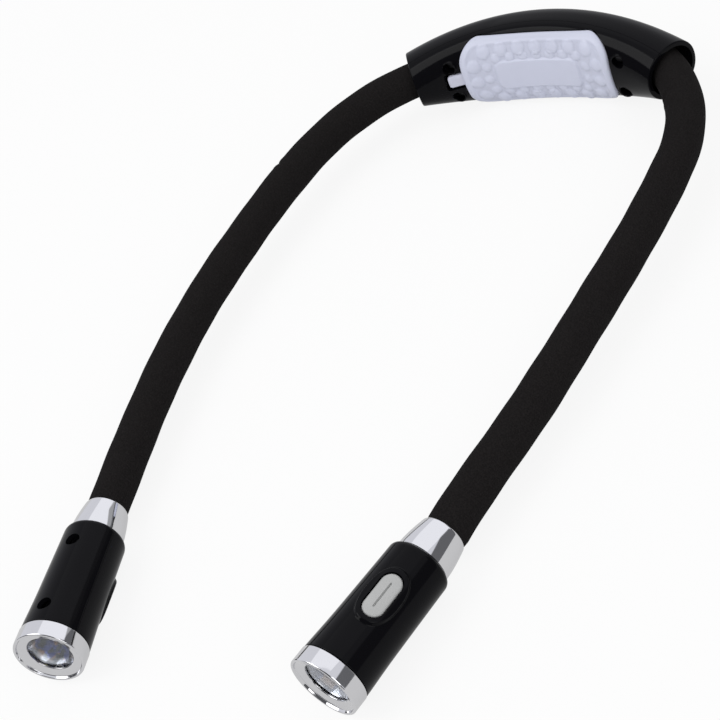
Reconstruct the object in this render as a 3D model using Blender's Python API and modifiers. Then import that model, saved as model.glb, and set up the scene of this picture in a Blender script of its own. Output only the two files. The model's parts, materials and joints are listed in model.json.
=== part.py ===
"""Neck reading light: an arched battery housing, two bendable foam arms and two torch heads.

Units are metres, +Z is up. The origin lies under the top of the housing's arch, on the surface that
the light rests on. The arms run toward -Y.
"""

import math

import bmesh
import bpy
import numpy as np
from mathutils import Matrix, Vector

NAME = "neck_reading_light"

# Shared clearances
GAP = 0.0003
OVERRUN = 0.004
MERGE = 0.000005

# Housing arch: a tapered superellipse swept along an arc
ARCH_RADIUS = 0.1136
ARCH_HALF_ANGLE = math.radians(30)
MOUTH_HEIGHT = 0.022
MIDDLE_HEIGHT = 0.037
FLOOR_FLAT = 0.00025
HOUSING_CENTRE_HEIGHT = MIDDLE_HEIGHT / 2 - FLOOR_FLAT
MOUTH_DEPTH = 0.025
MIDDLE_DEPTH = 0.023
MIDDLE_SHIFT = -0.0005
REST_SETBACK = 0.0025
MOUTH_SQUARENESS = 2.1
MIDDLE_SQUARENESS = 2.7
SHELL_WALL = 0.0018
SEAM_OFFSET = -0.0035
HOUSING_STATIONS = 15
SHELL_POINTS = 9
LAYER_STATIONS = 9
LAYER_POINTS = 9

# Battery door and its latch tab
DOOR_WIDTH = 0.065
DOOR_HEIGHT = 0.0326
DOOR_CORNER = 0.0088
DOOR_LIFT = -0.0002
DOOR_EDGE = -0.005
TAB_WIDTH = 0.0055
TAB_LENGTH = 0.006
TAB_ROOM = 0.0012
TAB_RISE = 0.001
HINGE_OUTSET = 0.0005

# Neck pad on the door
PAD_THICKNESS = 0.0012
PAD_RIM = 0.004
PANEL_WIDTH = 0.0372
PANEL_HEIGHT = 0.0138
PANEL_CORNER = 0.0035
PANEL_RISE = 0.0006
LARGE_BUMP = 0.0056
LARGE_BUMP_RISE = 0.0010
LARGE_BUMP_COUNT = 18
SMALL_BUMP = 0.0036
SMALL_BUMP_RISE = 0.0007
SMALL_BUMP_COUNT = 18
BUMP_SINK = 0.0003
DOME_FOOT_SHARE = 0.3

# Two AA cells and their contacts
CELL_RADIUS = 0.00725
CELL_LENGTH = 0.0505
CELL_NUB_RADIUS = 0.00275
CELL_NUB_HEIGHT = 0.0012
CELL_EDGE = 0.0006
CELL_SET_BACK = -0.0016
SPRING_ROOM = 0.0031
CONTACT_THICKNESS = 0.0005
CONTACT_WIDTH = 0.0084
CONTACT_HEIGHT = 0.0094
CONTACT_DOME_RADIUS = 0.0026
CONTACT_TIP_SHARE = 0.7
SPRING_WIRE = 0.0004
SPRING_RADIUS = 0.0036
SPRING_TIP_RADIUS = 0.0022
SPRING_TURNS = 2.5
BULKHEAD = 0.0015
CRADLE_STATION = 0.015
CRADLE_THICKNESS = 0.0014

# Housing screws
HOUSING_SCREW_STATION = 0.037
HOUSING_SCREW_RISE = 0.0072
SCREW_SINK_RADIUS = 0.0025
SCREW_SINK_DEPTH = 0.0045
SCREW_BOSS_WALL = 0.0007
SCREW_HEAD_RADIUS = 0.0021
SCREW_HEAD_HEIGHT = 0.0015
SCREW_FACE_SHARE = 0.8
SCREW_RIM_SHARE = 0.7
SCREW_SHANK_RADIUS = 0.0010
HOUSING_SCREW_LENGTH = 0.010
POST_RADIUS = 0.0023

# Arms: foam sleeves over a bendable core
SLEEVE_RADIUS = 0.0075
SEAT_RADIUS = 0.0080
SEAT_RIM_ANGLE = math.radians(63)
SEAT_FLOOR_ANGLE = math.radians(30)
DOME_TIP_RADIUS = 0.0025
CORE_RADIUS = 0.0037
CORE_BORE_RADIUS = 0.0021
CORE_START = 0.0086
CORE_PAST_JOINT = 0.004
WIRE_RADIUS = 0.0015
STEP_LENGTH = 0.00005
ROOT_INSET = 0.003
ARC_STEPS = 3
SLEEVE_SIDES = 12
SEAT_SIDES = 10
CORE_SIDES = 8
BORE_SIDES = 6
SEGMENTS = 4

# Anchor of each arm, trapped between ribs inside the mouth
ANCHOR_NECK_RADIUS = 0.0048
ANCHOR_FLANGE_RADIUS = 0.0066
ANCHOR_FLANGE = 0.0015
ANCHOR_BORE_RADIUS = 0.002
ANCHOR_RIB = 0.0014
ANCHOR_FRONT_RIB_STATION = 0.0062

# Torch head, measured forward from the joint at the end of the arm
COLLAR_END = 0.0148
COLLAR_RIM_RADIUS = 0.0080
COLLAR_END_RADIUS = 0.00956
SPIGOT_RADIUS = 0.0070
COLLAR_FLANGE_RADIUS = 0.0084
COLLAR_FLANGE = 0.0018
COLLAR_WIRE_RADIUS = 0.0025
COLLAR_RING_SHARES = (1, 0.7, 0.35, 0)
BARREL_START_RADIUS = 0.0099
BARREL_SHOULDER_RADIUS = 0.0111
BARREL_SHOULDER = 0.0020
BARREL_WAIST = 0.0502
BARREL_WAIST_RADIUS = 0.01163
BARREL_END = 0.0602
BARREL_END_RADIUS = 0.0122
BARREL_WALL = 0.0016
BARREL_END_WALL = 0.0019
BEZEL_END = 0.0681
BEZEL_RADIUS = 0.0123
BEZEL_EDGE = 0.0007
EDGE_ROUND_SHARE = 0.3
BEZEL_MOUTH_RADIUS = 0.0080
BEZEL_MOUTH_DEPTH = 0.0015
BEZEL_LIP = 0.0007
BEZEL_BORE_RADIUS = 0.0093
BEZEL_SKIRT = 0.0025
BEZEL_SKIRT_RADIUS = 0.0101
LENS_THICKNESS = 0.0011
REFLECTOR_WALL = 0.0006
REFLECTOR_APEX_RADIUS = 0.0026
REFLECTOR_DEPTH = 0.0048
BOWL_RING_SHARES = (0, 0.4, 0.7, 1)
BOARD_THICKNESS = 0.0010
LED_RADIUS = 0.0021
LED_BASE = 0.0006
LED_HEIGHT = 0.0018
TURN_STEPS = 16

# Button, its raised surround and the switch
BUTTON_STATION = 0.0372
BUTTON_LENGTH = 0.0165
BUTTON_WIDTH = 0.0074
BUTTON_RADIUS = 0.01215
SURROUND_LENGTH = 0.0218
SURROUND_WIDTH = 0.0126
SURROUND_RADIUS = 0.01235
SURROUND_FLAT_SHARE = 1 / 3
OVAL_FULLNESS = 0.85
BUTTON_FLANGE = 0.0009
BUTTON_FLANGE_MARGIN = 0.0010
BUTTON_FLANGE_TOP = 0.0082
BUTTON_TRAVEL = 0.0008
SWITCH_SIDE = 0.006
SWITCH_BODY = 0.0030
SWITCH_PLUNGER_RADIUS = 0.0016
SWITCH_BOARD_LENGTH = 0.016
SWITCH_BOARD_WIDTH = 0.0100
SWITCH_RIB = 0.0012
SWITCH_RIB_SPREAD = 0.0062
HEAD_SCREW_SIDE = 0.0039
HEAD_SCREW_STATIONS = (0.0260, 0.0546)
HEAD_SCREW_SEAT = -0.0064
HEAD_SCREW_LENGTH = 0.0075
HEAD_BOSS_END = -0.0052
HEAD_POST_RADIUS = 0.0021

# Each arm as it lies: heading from +X and turn of each of its eight arcs, in degrees
ARMS = {
    "left": {
        "side": -1,
        "heading": 208.9,
        "turns": (31.3, 13.3, 9.3, 0.9, 6.7, 4.3, 4.6, 0.1),
        "length": 0.2436,
        "head_yaw": 4.1,
        "head_pitch": 3.9,
        "button_roll": 157.0,
    },
    "right": {
        "side": 1,
        "heading": -49.0,
        "turns": (-26.8, -17.3, -5.2, -1.6, -0.1, -1.1, -5.0, 7.0),
        "length": 0.2280,
        "head_yaw": -4.8,
        "head_pitch": 2.8,
        "button_roll": 21.7,
    },
}

# Colour, roughness and metallic value of each material
MATERIALS = {
    "gloss_black": ((0.012, 0.012, 0.015, 1.0), 0.18, 0.0),
    "pad_lavender": ((0.62, 0.65, 0.80, 1.0), 0.50, 0.0),
    "door_white": ((0.70, 0.71, 0.80, 1.0), 0.40, 0.0),
    "foam_black": ((0.014, 0.012, 0.012, 1.0), 0.90, 0.0),
    "steel": ((0.55, 0.55, 0.56, 1.0), 0.35, 1.0),
    "chrome": ((0.80, 0.80, 0.82, 1.0), 0.08, 1.0),
    "spring_brass": ((0.70, 0.58, 0.32, 1.0), 0.35, 1.0),
    "cell_jacket": ((0.20, 0.21, 0.24, 1.0), 0.35, 0.2),
    "clear_lens": ((0.85, 0.90, 0.95, 1.0), 0.05, 0.0),
    "led_resin": ((0.90, 0.85, 0.55, 1.0), 0.30, 0.0),
    "board_white": ((0.75, 0.76, 0.74, 1.0), 0.50, 0.0),
    "board_green": ((0.05, 0.20, 0.08, 1.0), 0.50, 0.0),
    "button_grey": ((0.48, 0.49, 0.48, 1.0), 0.45, 0.0),
}


# Scene and materials


def clear_scene():
    """Remove every object of the scene that the script is run in."""
    for obj in list(bpy.data.objects):
        bpy.data.objects.remove(obj)


def make_collection(name):
    """A new collection under the scene's own."""
    collection = bpy.data.collections.new(name)
    bpy.context.scene.collection.children.link(collection)
    return collection


def make_material(name):
    """The named material, made on its first use."""
    found = bpy.data.materials.get(name)
    if found:
        return found
    colour, roughness, metallic = MATERIALS[name]
    material = bpy.data.materials.new(name)
    material.use_nodes = True
    shader = material.node_tree.nodes["Principled BSDF"]
    shader.inputs["Base Color"].default_value = colour
    shader.inputs["Roughness"].default_value = roughness
    shader.inputs["Metallic"].default_value = metallic
    return material


# Basic shapes: each is a working mesh object, used up by the piece it becomes part of


def work_object(mesh):
    """An object for a mesh that is still being shaped."""
    obj = bpy.data.objects.new("work", mesh)
    bpy.context.scene.collection.objects.link(obj)
    return obj


def from_bmesh(bm, matrix=None):
    """A working object from a bmesh, with its faces turned outward."""
    if matrix is not None:
        bmesh.ops.transform(bm, matrix=matrix, verts=bm.verts)
    bmesh.ops.recalc_face_normals(bm, faces=bm.faces)
    mesh = bpy.data.meshes.new("work")
    bm.to_mesh(mesh)
    bm.free()
    return work_object(mesh)


def evaluated(obj, matrix=None):
    """The object's shape with its modifiers, as one working mesh object with welded seams."""
    graph = bpy.context.evaluated_depsgraph_get()
    mesh = bpy.data.meshes.new_from_object(obj.evaluated_get(graph))
    bpy.data.objects.remove(obj)
    bm = bmesh.new()
    bm.from_mesh(mesh)
    bmesh.ops.remove_doubles(bm, verts=bm.verts, dist=MERGE)
    return from_bmesh(bm, matrix)


def box(low, high, matrix=None):
    """A box between two corners."""
    low, high = Vector(low), Vector(high)
    bm = bmesh.new()
    bmesh.ops.create_cube(bm, size=1.0)
    bmesh.ops.scale(bm, vec=high - low, verts=bm.verts)
    bmesh.ops.translate(bm, vec=(low + high) / 2, verts=bm.verts)
    return from_bmesh(bm, matrix)


def rod(radius, start, end, sides=16, end_radius=None):
    """A cylinder or cone from one point to another."""
    start, end = Vector(start), Vector(end)
    run = end - start
    bm = bmesh.new()
    bmesh.ops.create_cone(
        bm,
        cap_ends=True,
        segments=sides,
        radius1=radius,
        radius2=radius if end_radius is None else end_radius,
        depth=run.length,
    )
    turn = run.to_track_quat("Z", "Y").to_matrix().to_4x4()
    return from_bmesh(bm, Matrix.Translation((start + end) / 2) @ turn)


def dome(radius, rise, at, normal, sides=6):
    """A flattened ball with a shallow foot, on a surface point, its height along the normal."""
    bm = bmesh.new()
    bmesh.ops.create_uvsphere(bm, u_segments=sides, v_segments=4, radius=1.0)
    for vert in bm.verts:
        if vert.co.z < 0:
            vert.co.z *= DOME_FOOT_SHARE
    bmesh.ops.scale(bm, vec=(radius, radius, rise), verts=bm.verts)
    turn = Vector(normal).to_track_quat("Z", "Y").to_matrix().to_4x4()
    return from_bmesh(bm, Matrix.Translation(at) @ turn)


def turned(profile, steps=TURN_STEPS):
    """A profile of (radius, height) points, closed by its own last edge, turned about Z.

    The outer side runs from top to bottom. Points on the axis are merged.
    """
    mesh = bpy.data.meshes.new("profile")
    points = [(radius, 0, height) for radius, height in profile]
    edges = [(index, index + 1) for index in range(len(points) - 1)]
    if profile[0][0] > 0 or profile[-1][0] > 0:
        edges.append((len(points) - 1, 0))
    mesh.from_pydata(points, edges, [])
    obj = work_object(mesh)
    screw = obj.modifiers.new("turn", "SCREW")
    screw.steps = steps
    screw.render_steps = steps
    screw.use_merge_vertices = True
    screw.merge_threshold = MERGE
    return evaluated(obj)


def prism(outline, low, high, axis):
    """A flat outline extruded from low to high along Y or X.

    The outline's points are (x, z) where the axis is Y, and (z, y) where it is X.
    """
    curve = bpy.data.curves.new("outline", "CURVE")
    curve.dimensions = "2D"
    curve.fill_mode = "BOTH"
    curve.extrude = (high - low) / 2
    spline = curve.splines.new("POLY")
    spline.points.add(len(outline) - 1)
    for point, (first, second) in zip(spline.points, outline):
        point.co = (first, second, 0, 1)
    spline.use_cyclic_u = True
    centre = (high + low) / 2
    if axis == "Y":
        matrix = Matrix(((1, 0, 0, 0), (0, 0, 1, centre), (0, 1, 0, 0), (0, 0, 0, 1)))
    else:
        matrix = Matrix(((0, 0, 1, centre), (0, 1, 0, 0), (1, 0, 0, 0), (0, 0, 0, 1)))
    obj = bpy.data.objects.new("outline", curve)
    bpy.context.scene.collection.objects.link(obj)
    return evaluated(obj, matrix)


def tube(points, radii, sides):
    """A round tube through the points, with its own radius at each, closed by flat caps."""
    curve = bpy.data.curves.new("tube", "CURVE")
    curve.dimensions = "3D"
    curve.bevel_resolution = max(sides // 2 - 2, 0)
    curve.bevel_depth = max(radii)
    curve.use_fill_caps = True
    spline = curve.splines.new("POLY")
    spline.points.add(len(points) - 1)
    for point, place, radius in zip(spline.points, points, radii):
        point.co = (*place, 1)
        point.radius = radius / max(radii)
    obj = bpy.data.objects.new("tube", curve)
    bpy.context.scene.collection.objects.link(obj)
    return evaluated(obj)


def loft(rings):
    """A closed solid through rings of equally many points, with a face over each end ring."""
    bm = bmesh.new()
    made = [[bm.verts.new(point) for point in ring] for ring in rings]
    for first, second in zip(made, made[1:]):
        for index in range(len(first)):
            after = (index + 1) % len(first)
            bm.faces.new((first[index], first[after], second[after], second[index]))
    bm.faces.new(made[0])
    bm.faces.new(made[-1])
    return from_bmesh(bm)


def combine(target, others, operation):
    """Join, cut or intersect the target with each of the others in turn, and use them up."""
    for other in others:
        boolean = target.modifiers.new(operation.lower(), "BOOLEAN")
        boolean.operation = operation
        boolean.solver = "EXACT"
        boolean.object = other
        target = evaluated(target)
        bpy.data.objects.remove(other)
    return target


def joined(target, *others):
    """The union of the target and the others."""
    return combine(target, others, "UNION")


def cut(target, *others):
    """The target with the others cut out of it."""
    return combine(target, others, "DIFFERENCE")


def common(target, *others):
    """What the target shares with each of the others."""
    return combine(target, others, "INTERSECT")


def rounded_outline(width, height, radius, centre=(0, 0), corner_steps=5):
    """Points of a rectangle with round corners, which is a stadium where the radius is half a side."""
    points = []
    for quarter, (right, up) in enumerate(((1, 1), (-1, 1), (-1, -1), (1, -1))):
        middle_x = centre[0] + right * (width / 2 - radius)
        middle_y = centre[1] + up * (height / 2 - radius)
        for step in range(corner_steps + 1):
            angle = math.pi / 2 * (quarter + step / corner_steps)
            points.append((middle_x + radius * math.cos(angle), middle_y + radius * math.sin(angle)))
    kept = []
    for point in points:
        if not kept or math.dist(point, kept[-1]) > MERGE:
            kept.append(point)
    return kept


# Housing surface


def section_size(t, offset):
    """Half height, half depth, squareness power and radial shift of the section at arch share t."""
    swell = 1 - t * t
    half_height = (MOUTH_HEIGHT + (MIDDLE_HEIGHT - MOUTH_HEIGHT) * swell) / 2 + offset
    half_depth = (MOUTH_DEPTH + (MIDDLE_DEPTH - MOUTH_DEPTH) * swell) / 2 + offset
    power = 2 / (MOUTH_SQUARENESS + (MIDDLE_SQUARENESS - MOUTH_SQUARENESS) * swell)
    return half_height, half_depth, power, MIDDLE_SHIFT * swell


def section_point(t, angle, offset):
    """(radial, height) of the section's outline, where angle 0 points away from the neck."""
    half_height, half_depth, power, shift = section_size(t, offset)
    across, up = math.cos(angle), math.sin(angle)
    radial = math.copysign(abs(across) ** power, across) * half_depth + shift
    return radial, math.copysign(abs(up) ** power, up) * half_height


def seam_angle(t, offset, seam):
    """Angle at which the section's outline crosses the seam."""
    _, half_depth, power, shift = section_size(t, offset)
    share = (seam - shift) / half_depth
    return math.acos(math.copysign(abs(share) ** (1 / power), share))


def arch_point(t, radial, height):
    """World point of a section point at arch share t."""
    turn = ARCH_HALF_ANGLE * t
    reach = ARCH_RADIUS + radial
    depth = reach * math.cos(turn) - ARCH_RADIUS
    return Vector((reach * math.sin(turn), depth, HOUSING_CENTRE_HEIGHT + height))


def outline_run(t, offset, start, end, count=SHELL_POINTS):
    """World points along the section's outline from one angle to another."""
    angles = np.linspace(start, end, count)
    return [arch_point(t, *section_point(t, angle, offset)) for angle in angles]


def half_angles(t, offset, rear, seam):
    """Start and end angle of the rear or the neck-side half of the section."""
    edge = seam_angle(t, offset, seam)
    return (-edge, edge) if rear else (edge, 2 * math.pi - edge)


def half_shell(rear, seam):
    """One half of the housing's wall, from mouth to mouth."""
    rings = []
    for t in np.linspace(-1, 1, HOUSING_STATIONS):
        outer = outline_run(t, 0, *half_angles(t, 0, rear, seam))
        inner = outline_run(t, -SHELL_WALL, *half_angles(t, -SHELL_WALL, rear, seam))
        rings.append(outer + inner[::-1])
    return loft(rings)


def half_core(rear, seam):
    """A solid filling one half of the housing up to the middle of its wall."""
    offset = -SHELL_WALL / 2
    rings = []
    for t in np.linspace(-1, 1, HOUSING_STATIONS):
        rings.append(outline_run(t, offset, *half_angles(t, offset, rear, seam)))
    return loft(rings)


def neck_layer(bottom, top, edge):
    """A curved layer on the housing's neck side, between two offsets, as far round as a radial edge."""
    width = DOOR_WIDTH + 3 * TAB_LENGTH
    span = math.asin(width / 2 / (ARCH_RADIUS - MIDDLE_DEPTH / 2)) / ARCH_HALF_ANGLE
    rings = []
    for t in np.linspace(-span, span, LAYER_STATIONS):
        start, end = half_angles(t, 0, False, edge)
        outer = outline_run(t, top, start, end, LAYER_POINTS)
        inner = outline_run(t, bottom, start, end, LAYER_POINTS)
        rings.append(outer + inner[::-1])
    return loft(rings)


def neck_place(x, z):
    """Surface point and outward normal on the neck side for a place seen along the Y axis."""
    t = math.asin(x / (ARCH_RADIUS - MIDDLE_DEPTH / 2)) / ARCH_HALF_ANGLE
    half_height, _, power, _ = section_size(t, 0)
    rise = math.copysign(min(abs(z / half_height), 1) ** (1 / power), z)
    angle = math.pi - math.asin(rise)
    step = math.radians(1)
    place = arch_point(t, *section_point(t, angle, 0))
    along = arch_point(t + step, *section_point(t + step, angle, 0)) - place
    around = arch_point(t, *section_point(t, angle + step, 0)) - place
    normal = along.cross(around).normalized()
    if normal.y > 0:
        normal.negate()
    return place, normal


def floor_cutter():
    """Everything under the surface that the light rests on."""
    reach = ARCH_RADIUS
    return box((-reach, -reach, -MIDDLE_HEIGHT), (reach, reach, 0))


# Housing pieces


def mouth_frame(side):
    """Frame at an arm's root joint: X runs out of the mouth, Z up."""
    heading = -ARCH_HALF_ANGLE if side > 0 else math.pi + ARCH_HALF_ANGLE
    mouth = arch_point(side, 0, 0)
    outward = Vector((math.cos(heading), math.sin(heading), 0))
    return Matrix.Translation(mouth - outward * ROOT_INSET) @ Matrix.Rotation(heading, 4, "Z")


def housing_screw_places():
    """(x, z) of the four housing screws."""
    rise = HOUSING_SCREW_RISE
    return [
        (side * HOUSING_SCREW_STATION, HOUSING_CENTRE_HEIGHT + up)
        for side in (-1, 1)
        for up in (-rise, rise)
    ]


def screw_face_y(x, z):
    """Y of the housing's neck face at a screw."""
    return neck_place(x, z - HOUSING_CENTRE_HEIGHT)[0].y


def cell_axis(index):
    """(y, z) of a cell's axis: the first lies over the second."""
    rise = CELL_RADIUS + GAP / 2
    return CELL_SET_BACK, HOUSING_CENTRE_HEIGHT + (rise if index == 0 else -rise)


def bulkhead_station():
    """X of the bulkheads' inner faces, behind the contacts."""
    return CELL_LENGTH / 2 + GAP + SPRING_ROOM + CONTACT_THICKNESS + GAP


def rear_ribs(seam):
    """Cradles, bulkheads, anchor ribs and screw posts, trimmed to the inside of the rear shell."""
    reach = ARCH_RADIUS / 2
    tall = (-MIDDLE_HEIGHT, HOUSING_CENTRE_HEIGHT + MIDDLE_HEIGHT)
    parts = []
    for side in (-1, 1):
        for near, thickness in ((bulkhead_station(), BULKHEAD), (CRADLE_STATION, CRADLE_THICKNESS)):
            ends = sorted((side * near, side * (near + thickness)))
            parts.append(box((ends[0], -reach, tall[0]), (ends[1], reach, tall[1])))
        for start in anchor_rib_stations():
            low = (-start - ANCHOR_RIB, -reach / 2, -MIDDLE_HEIGHT)
            high = (-start, reach / 2, MIDDLE_HEIGHT)
            parts.append(box(low, high, mouth_frame(side)))
    for x, z in housing_screw_places():
        parts.append(rod(POST_RADIUS, (x, -reach, z), (x, reach, z), 10))
    return [common(part, half_core(True, seam + GAP)) for part in parts]


def anchor_rib_stations():
    """Distance of the two anchor ribs' mouth sides behind the root joint."""
    second = ANCHOR_FRONT_RIB_STATION + ANCHOR_RIB + ANCHOR_FLANGE + 2 * GAP
    return ANCHOR_FRONT_RIB_STATION, second


def anchor_notches(side):
    """U-shaped notches that the anchor drops into from the neck side, one for each rib."""
    frame = mouth_frame(side)
    front, rear = anchor_rib_stations()
    drop = MOUTH_DEPTH
    toward_neck = -1 if side < 0 else 1
    cutters = []
    for start, radius in ((front, ANCHOR_NECK_RADIUS + GAP), (rear, ANCHOR_NECK_RADIUS - SHELL_WALL)):
        near, far = -start + GAP, -start - ANCHOR_RIB - GAP
        cutters.append(rod(radius, frame @ Vector((near, 0, 0)), frame @ Vector((far, 0, 0))))
        sides = sorted((0, -toward_neck * drop))
        cutters.append(box((far, sides[0], -radius), (near, sides[1], radius), frame))
    return cutters


def rear_shell():
    """Back half of the housing: it lies on the table and carries cells, contacts and anchors."""
    seam = SEAM_OFFSET + GAP / 2
    shell = joined(half_shell(True, seam), *rear_ribs(seam))
    cutters = [floor_cutter()]
    bay = bulkhead_station() - CONTACT_THICKNESS - 2 * GAP
    room = CELL_RADIUS + GAP
    (y, upper), (_, lower) = cell_axis(0), cell_axis(1)
    for z in (upper, lower):
        cutters.append(rod(room, (-bay, y, z), (bay, y, z), 14))
    cutters.append(box((-bay, y - ARCH_RADIUS / 2, lower - room), (bay, y, upper + room)))
    for side in (-1, 1):
        cutters.extend(anchor_notches(side))
    for x, z in housing_screw_places():
        start = screw_face_y(x, z)
        tip = start + SCREW_SINK_DEPTH + HOUSING_SCREW_LENGTH + GAP
        cutters.append(rod(SCREW_SHANK_RADIUS + GAP, (x, start, z), (x, tip, z), 10))
    return cut(shell, *cutters)


def door_outline(growth, tab_growth):
    """Outline of the door with its latch tab, grown all round."""
    width, height = DOOR_WIDTH + 2 * growth, DOOR_HEIGHT + 2 * growth
    centre_z = HOUSING_CENTRE_HEIGHT + DOOR_LIFT
    points = rounded_outline(width, height, DOOR_CORNER + growth, (0, centre_z))
    tab_z = HOUSING_CENTRE_HEIGHT + TAB_RISE
    half = TAB_WIDTH / 2 + tab_growth
    tip = -DOOR_WIDTH / 2 - TAB_LENGTH - tab_growth
    root = -width / 2
    tab = [(root, tab_z + half), (tip, tab_z + half), (tip, tab_z - half), (root, tab_z - half)]
    start = max(index for index, (x, z) in enumerate(points) if x < 0 and z > centre_z) + 1
    return points[:start] + tab + points[start:]


def inner_shell():
    """Neck-side half of the housing, with the battery opening and four counterbored screw holes."""
    seam = SEAM_OFFSET - GAP / 2
    reach = ARCH_RADIUS / 2
    shell = half_shell(False, seam)
    boss_radius = SCREW_SINK_RADIUS + SCREW_BOSS_WALL
    room = neck_layer(-2 * SHELL_WALL, OVERRUN, DOOR_EDGE + GAP)
    cutters = [
        floor_cutter(),
        common(room, prism(door_outline(GAP, TAB_ROOM), -reach, 0, "Y")),
    ]
    for x, z in housing_screw_places():
        boss = rod(boss_radius, (x, -reach, z), (x, reach, z), 14)
        shell = joined(shell, common(boss, half_core(False, seam - GAP)))
        face = screw_face_y(x, z)
        seat = face + SCREW_SINK_DEPTH
        cutters.append(rod(SCREW_SINK_RADIUS, (x, face - OVERRUN, z), (x, seat, z), 14))
        cutters.append(rod(SCREW_SHANK_RADIUS + GAP, (x, face, z), (x, seat + boss_radius * 2, z), 10))
    return cut(shell, *cutters)


def battery_door():
    """Curved lid over the battery opening, with a latch tab at its left end."""
    outline = prism(door_outline(0, 0), -ARCH_RADIUS / 2, 0, "Y")
    return common(neck_layer(-SHELL_WALL, 0, DOOR_EDGE), outline)


def ring_places(inset, count):
    """Evenly spaced places along a round-cornered ring inside the pad's outline."""
    width = DOOR_WIDTH - 2 * inset
    height = DOOR_HEIGHT * (1 - 2 * inset / (DOOR_HEIGHT + 2 * PAD_RIM))
    corner = min(max(DOOR_CORNER - inset / 2, MERGE), height / 2)
    points = np.array(rounded_outline(width, height, corner, (0, DOOR_LIFT)))
    closed = np.vstack([points, points[:1]])
    run = np.concatenate([[0], np.cumsum(np.hypot(*np.diff(closed, axis=0).T))])
    at = np.linspace(0, run[-1], count, endpoint=False)
    return list(zip(np.interp(at, run, closed[:, 0]), np.interp(at, run, closed[:, 1])))


def neck_pad():
    """Soft pad over the door: a flat rim, two rings of bumps and a raised panel."""
    reach = ARCH_RADIUS / 2
    centre = (0, HOUSING_CENTRE_HEIGHT + DOOR_LIFT)
    top = GAP + PAD_THICKNESS
    outline = rounded_outline(DOOR_WIDTH, DOOR_HEIGHT, DOOR_CORNER, centre)
    pad = common(neck_layer(GAP, top, DOOR_EDGE), prism(outline, -reach, 0, "Y"))
    panel_outline = rounded_outline(PANEL_WIDTH, PANEL_HEIGHT, PANEL_CORNER, centre, 3)
    panel_layer = neck_layer(GAP + PAD_THICKNESS / 2, top + PANEL_RISE, DOOR_EDGE)
    bumps = [common(panel_layer, prism(panel_outline, -reach, 0, "Y"))]
    large_inset = PAD_RIM + LARGE_BUMP / 2
    small_inset = large_inset + (LARGE_BUMP + SMALL_BUMP) / 2
    rings = (
        (large_inset, LARGE_BUMP_COUNT, LARGE_BUMP, LARGE_BUMP_RISE),
        (small_inset, SMALL_BUMP_COUNT, SMALL_BUMP, SMALL_BUMP_RISE),
    )
    for inset, count, size, rise in rings:
        for x, z in ring_places(inset, count):
            place, normal = neck_place(x, z)
            at = place + normal * (top - BUMP_SINK)
            bumps.append(dome(size / 2, rise + BUMP_SINK, at, normal))
    return joined(pad, *bumps)


def battery_cell():
    """An AA cell along Z, with its plus nub at the top."""
    half = CELL_LENGTH / 2
    shoulder = half - CELL_NUB_HEIGHT
    profile = [
        (0, half),
        (CELL_NUB_RADIUS, half),
        (CELL_NUB_RADIUS, shoulder),
        (CELL_RADIUS - CELL_EDGE, shoulder),
        (CELL_RADIUS, shoulder - CELL_EDGE),
        (CELL_RADIUS, -half + CELL_EDGE),
        (CELL_RADIUS - CELL_EDGE, -half),
        (0, -half),
    ]
    return turned(profile, 18)


def contact_plate(height):
    """Contact plate with its back at x = 0, standing across the cells' axes."""
    return box((-CONTACT_THICKNESS, -CONTACT_WIDTH / 2, -height / 2), (0, CONTACT_WIDTH / 2, height / 2))


def contact_boss(z):
    """Raised boss on a contact plate, reaching toward the cell's end."""
    start = (-CONTACT_THICKNESS / 2, 0, z)
    tip = (-CONTACT_THICKNESS - SPRING_ROOM + GAP, 0, z)
    return rod(CONTACT_DOME_RADIUS, start, tip, 12, CONTACT_DOME_RADIUS * CONTACT_TIP_SHARE)


def bridge_contact():
    """Plate that joins both cells at one end, with a boss for each."""
    pitch = 2 * CELL_RADIUS + GAP
    plate = contact_plate(pitch + CONTACT_HEIGHT)
    return joined(plate, contact_boss(pitch / 2), contact_boss(-pitch / 2))


def positive_contact():
    """Plate with one boss."""
    return joined(contact_plate(CONTACT_HEIGHT), contact_boss(0))


def negative_spring_contact():
    """Plate with a small conical spring."""
    steps = 10
    count = int(SPRING_TURNS * steps)
    first = -CONTACT_THICKNESS + SPRING_WIRE / 2
    last = -CONTACT_THICKNESS - SPRING_ROOM + GAP + SPRING_WIRE
    points = []
    for index in range(count + 1):
        share = index / count
        angle = 2 * math.pi * index / steps
        radius = SPRING_RADIUS + (SPRING_TIP_RADIUS - SPRING_RADIUS) * share
        points.append((first + (last - first) * share, radius * math.cos(angle), radius * math.sin(angle)))
    wire = tube(points, [SPRING_WIRE] * len(points), 6)
    return joined(contact_plate(CONTACT_HEIGHT), wire)


def screw_mesh(shank_length):
    """A pan-head screw along Z, its head's underside at z = 0 and its shank below."""
    profile = [
        (0, SCREW_HEAD_HEIGHT),
        (SCREW_HEAD_RADIUS * SCREW_FACE_SHARE, SCREW_HEAD_HEIGHT),
        (SCREW_HEAD_RADIUS, SCREW_HEAD_HEIGHT * SCREW_RIM_SHARE),
        (SCREW_HEAD_RADIUS, 0),
        (SCREW_SHANK_RADIUS, 0),
        (SCREW_SHANK_RADIUS, -shank_length + SCREW_SHANK_RADIUS),
        (0, -shank_length),
    ]
    return turned(profile, 10)


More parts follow.
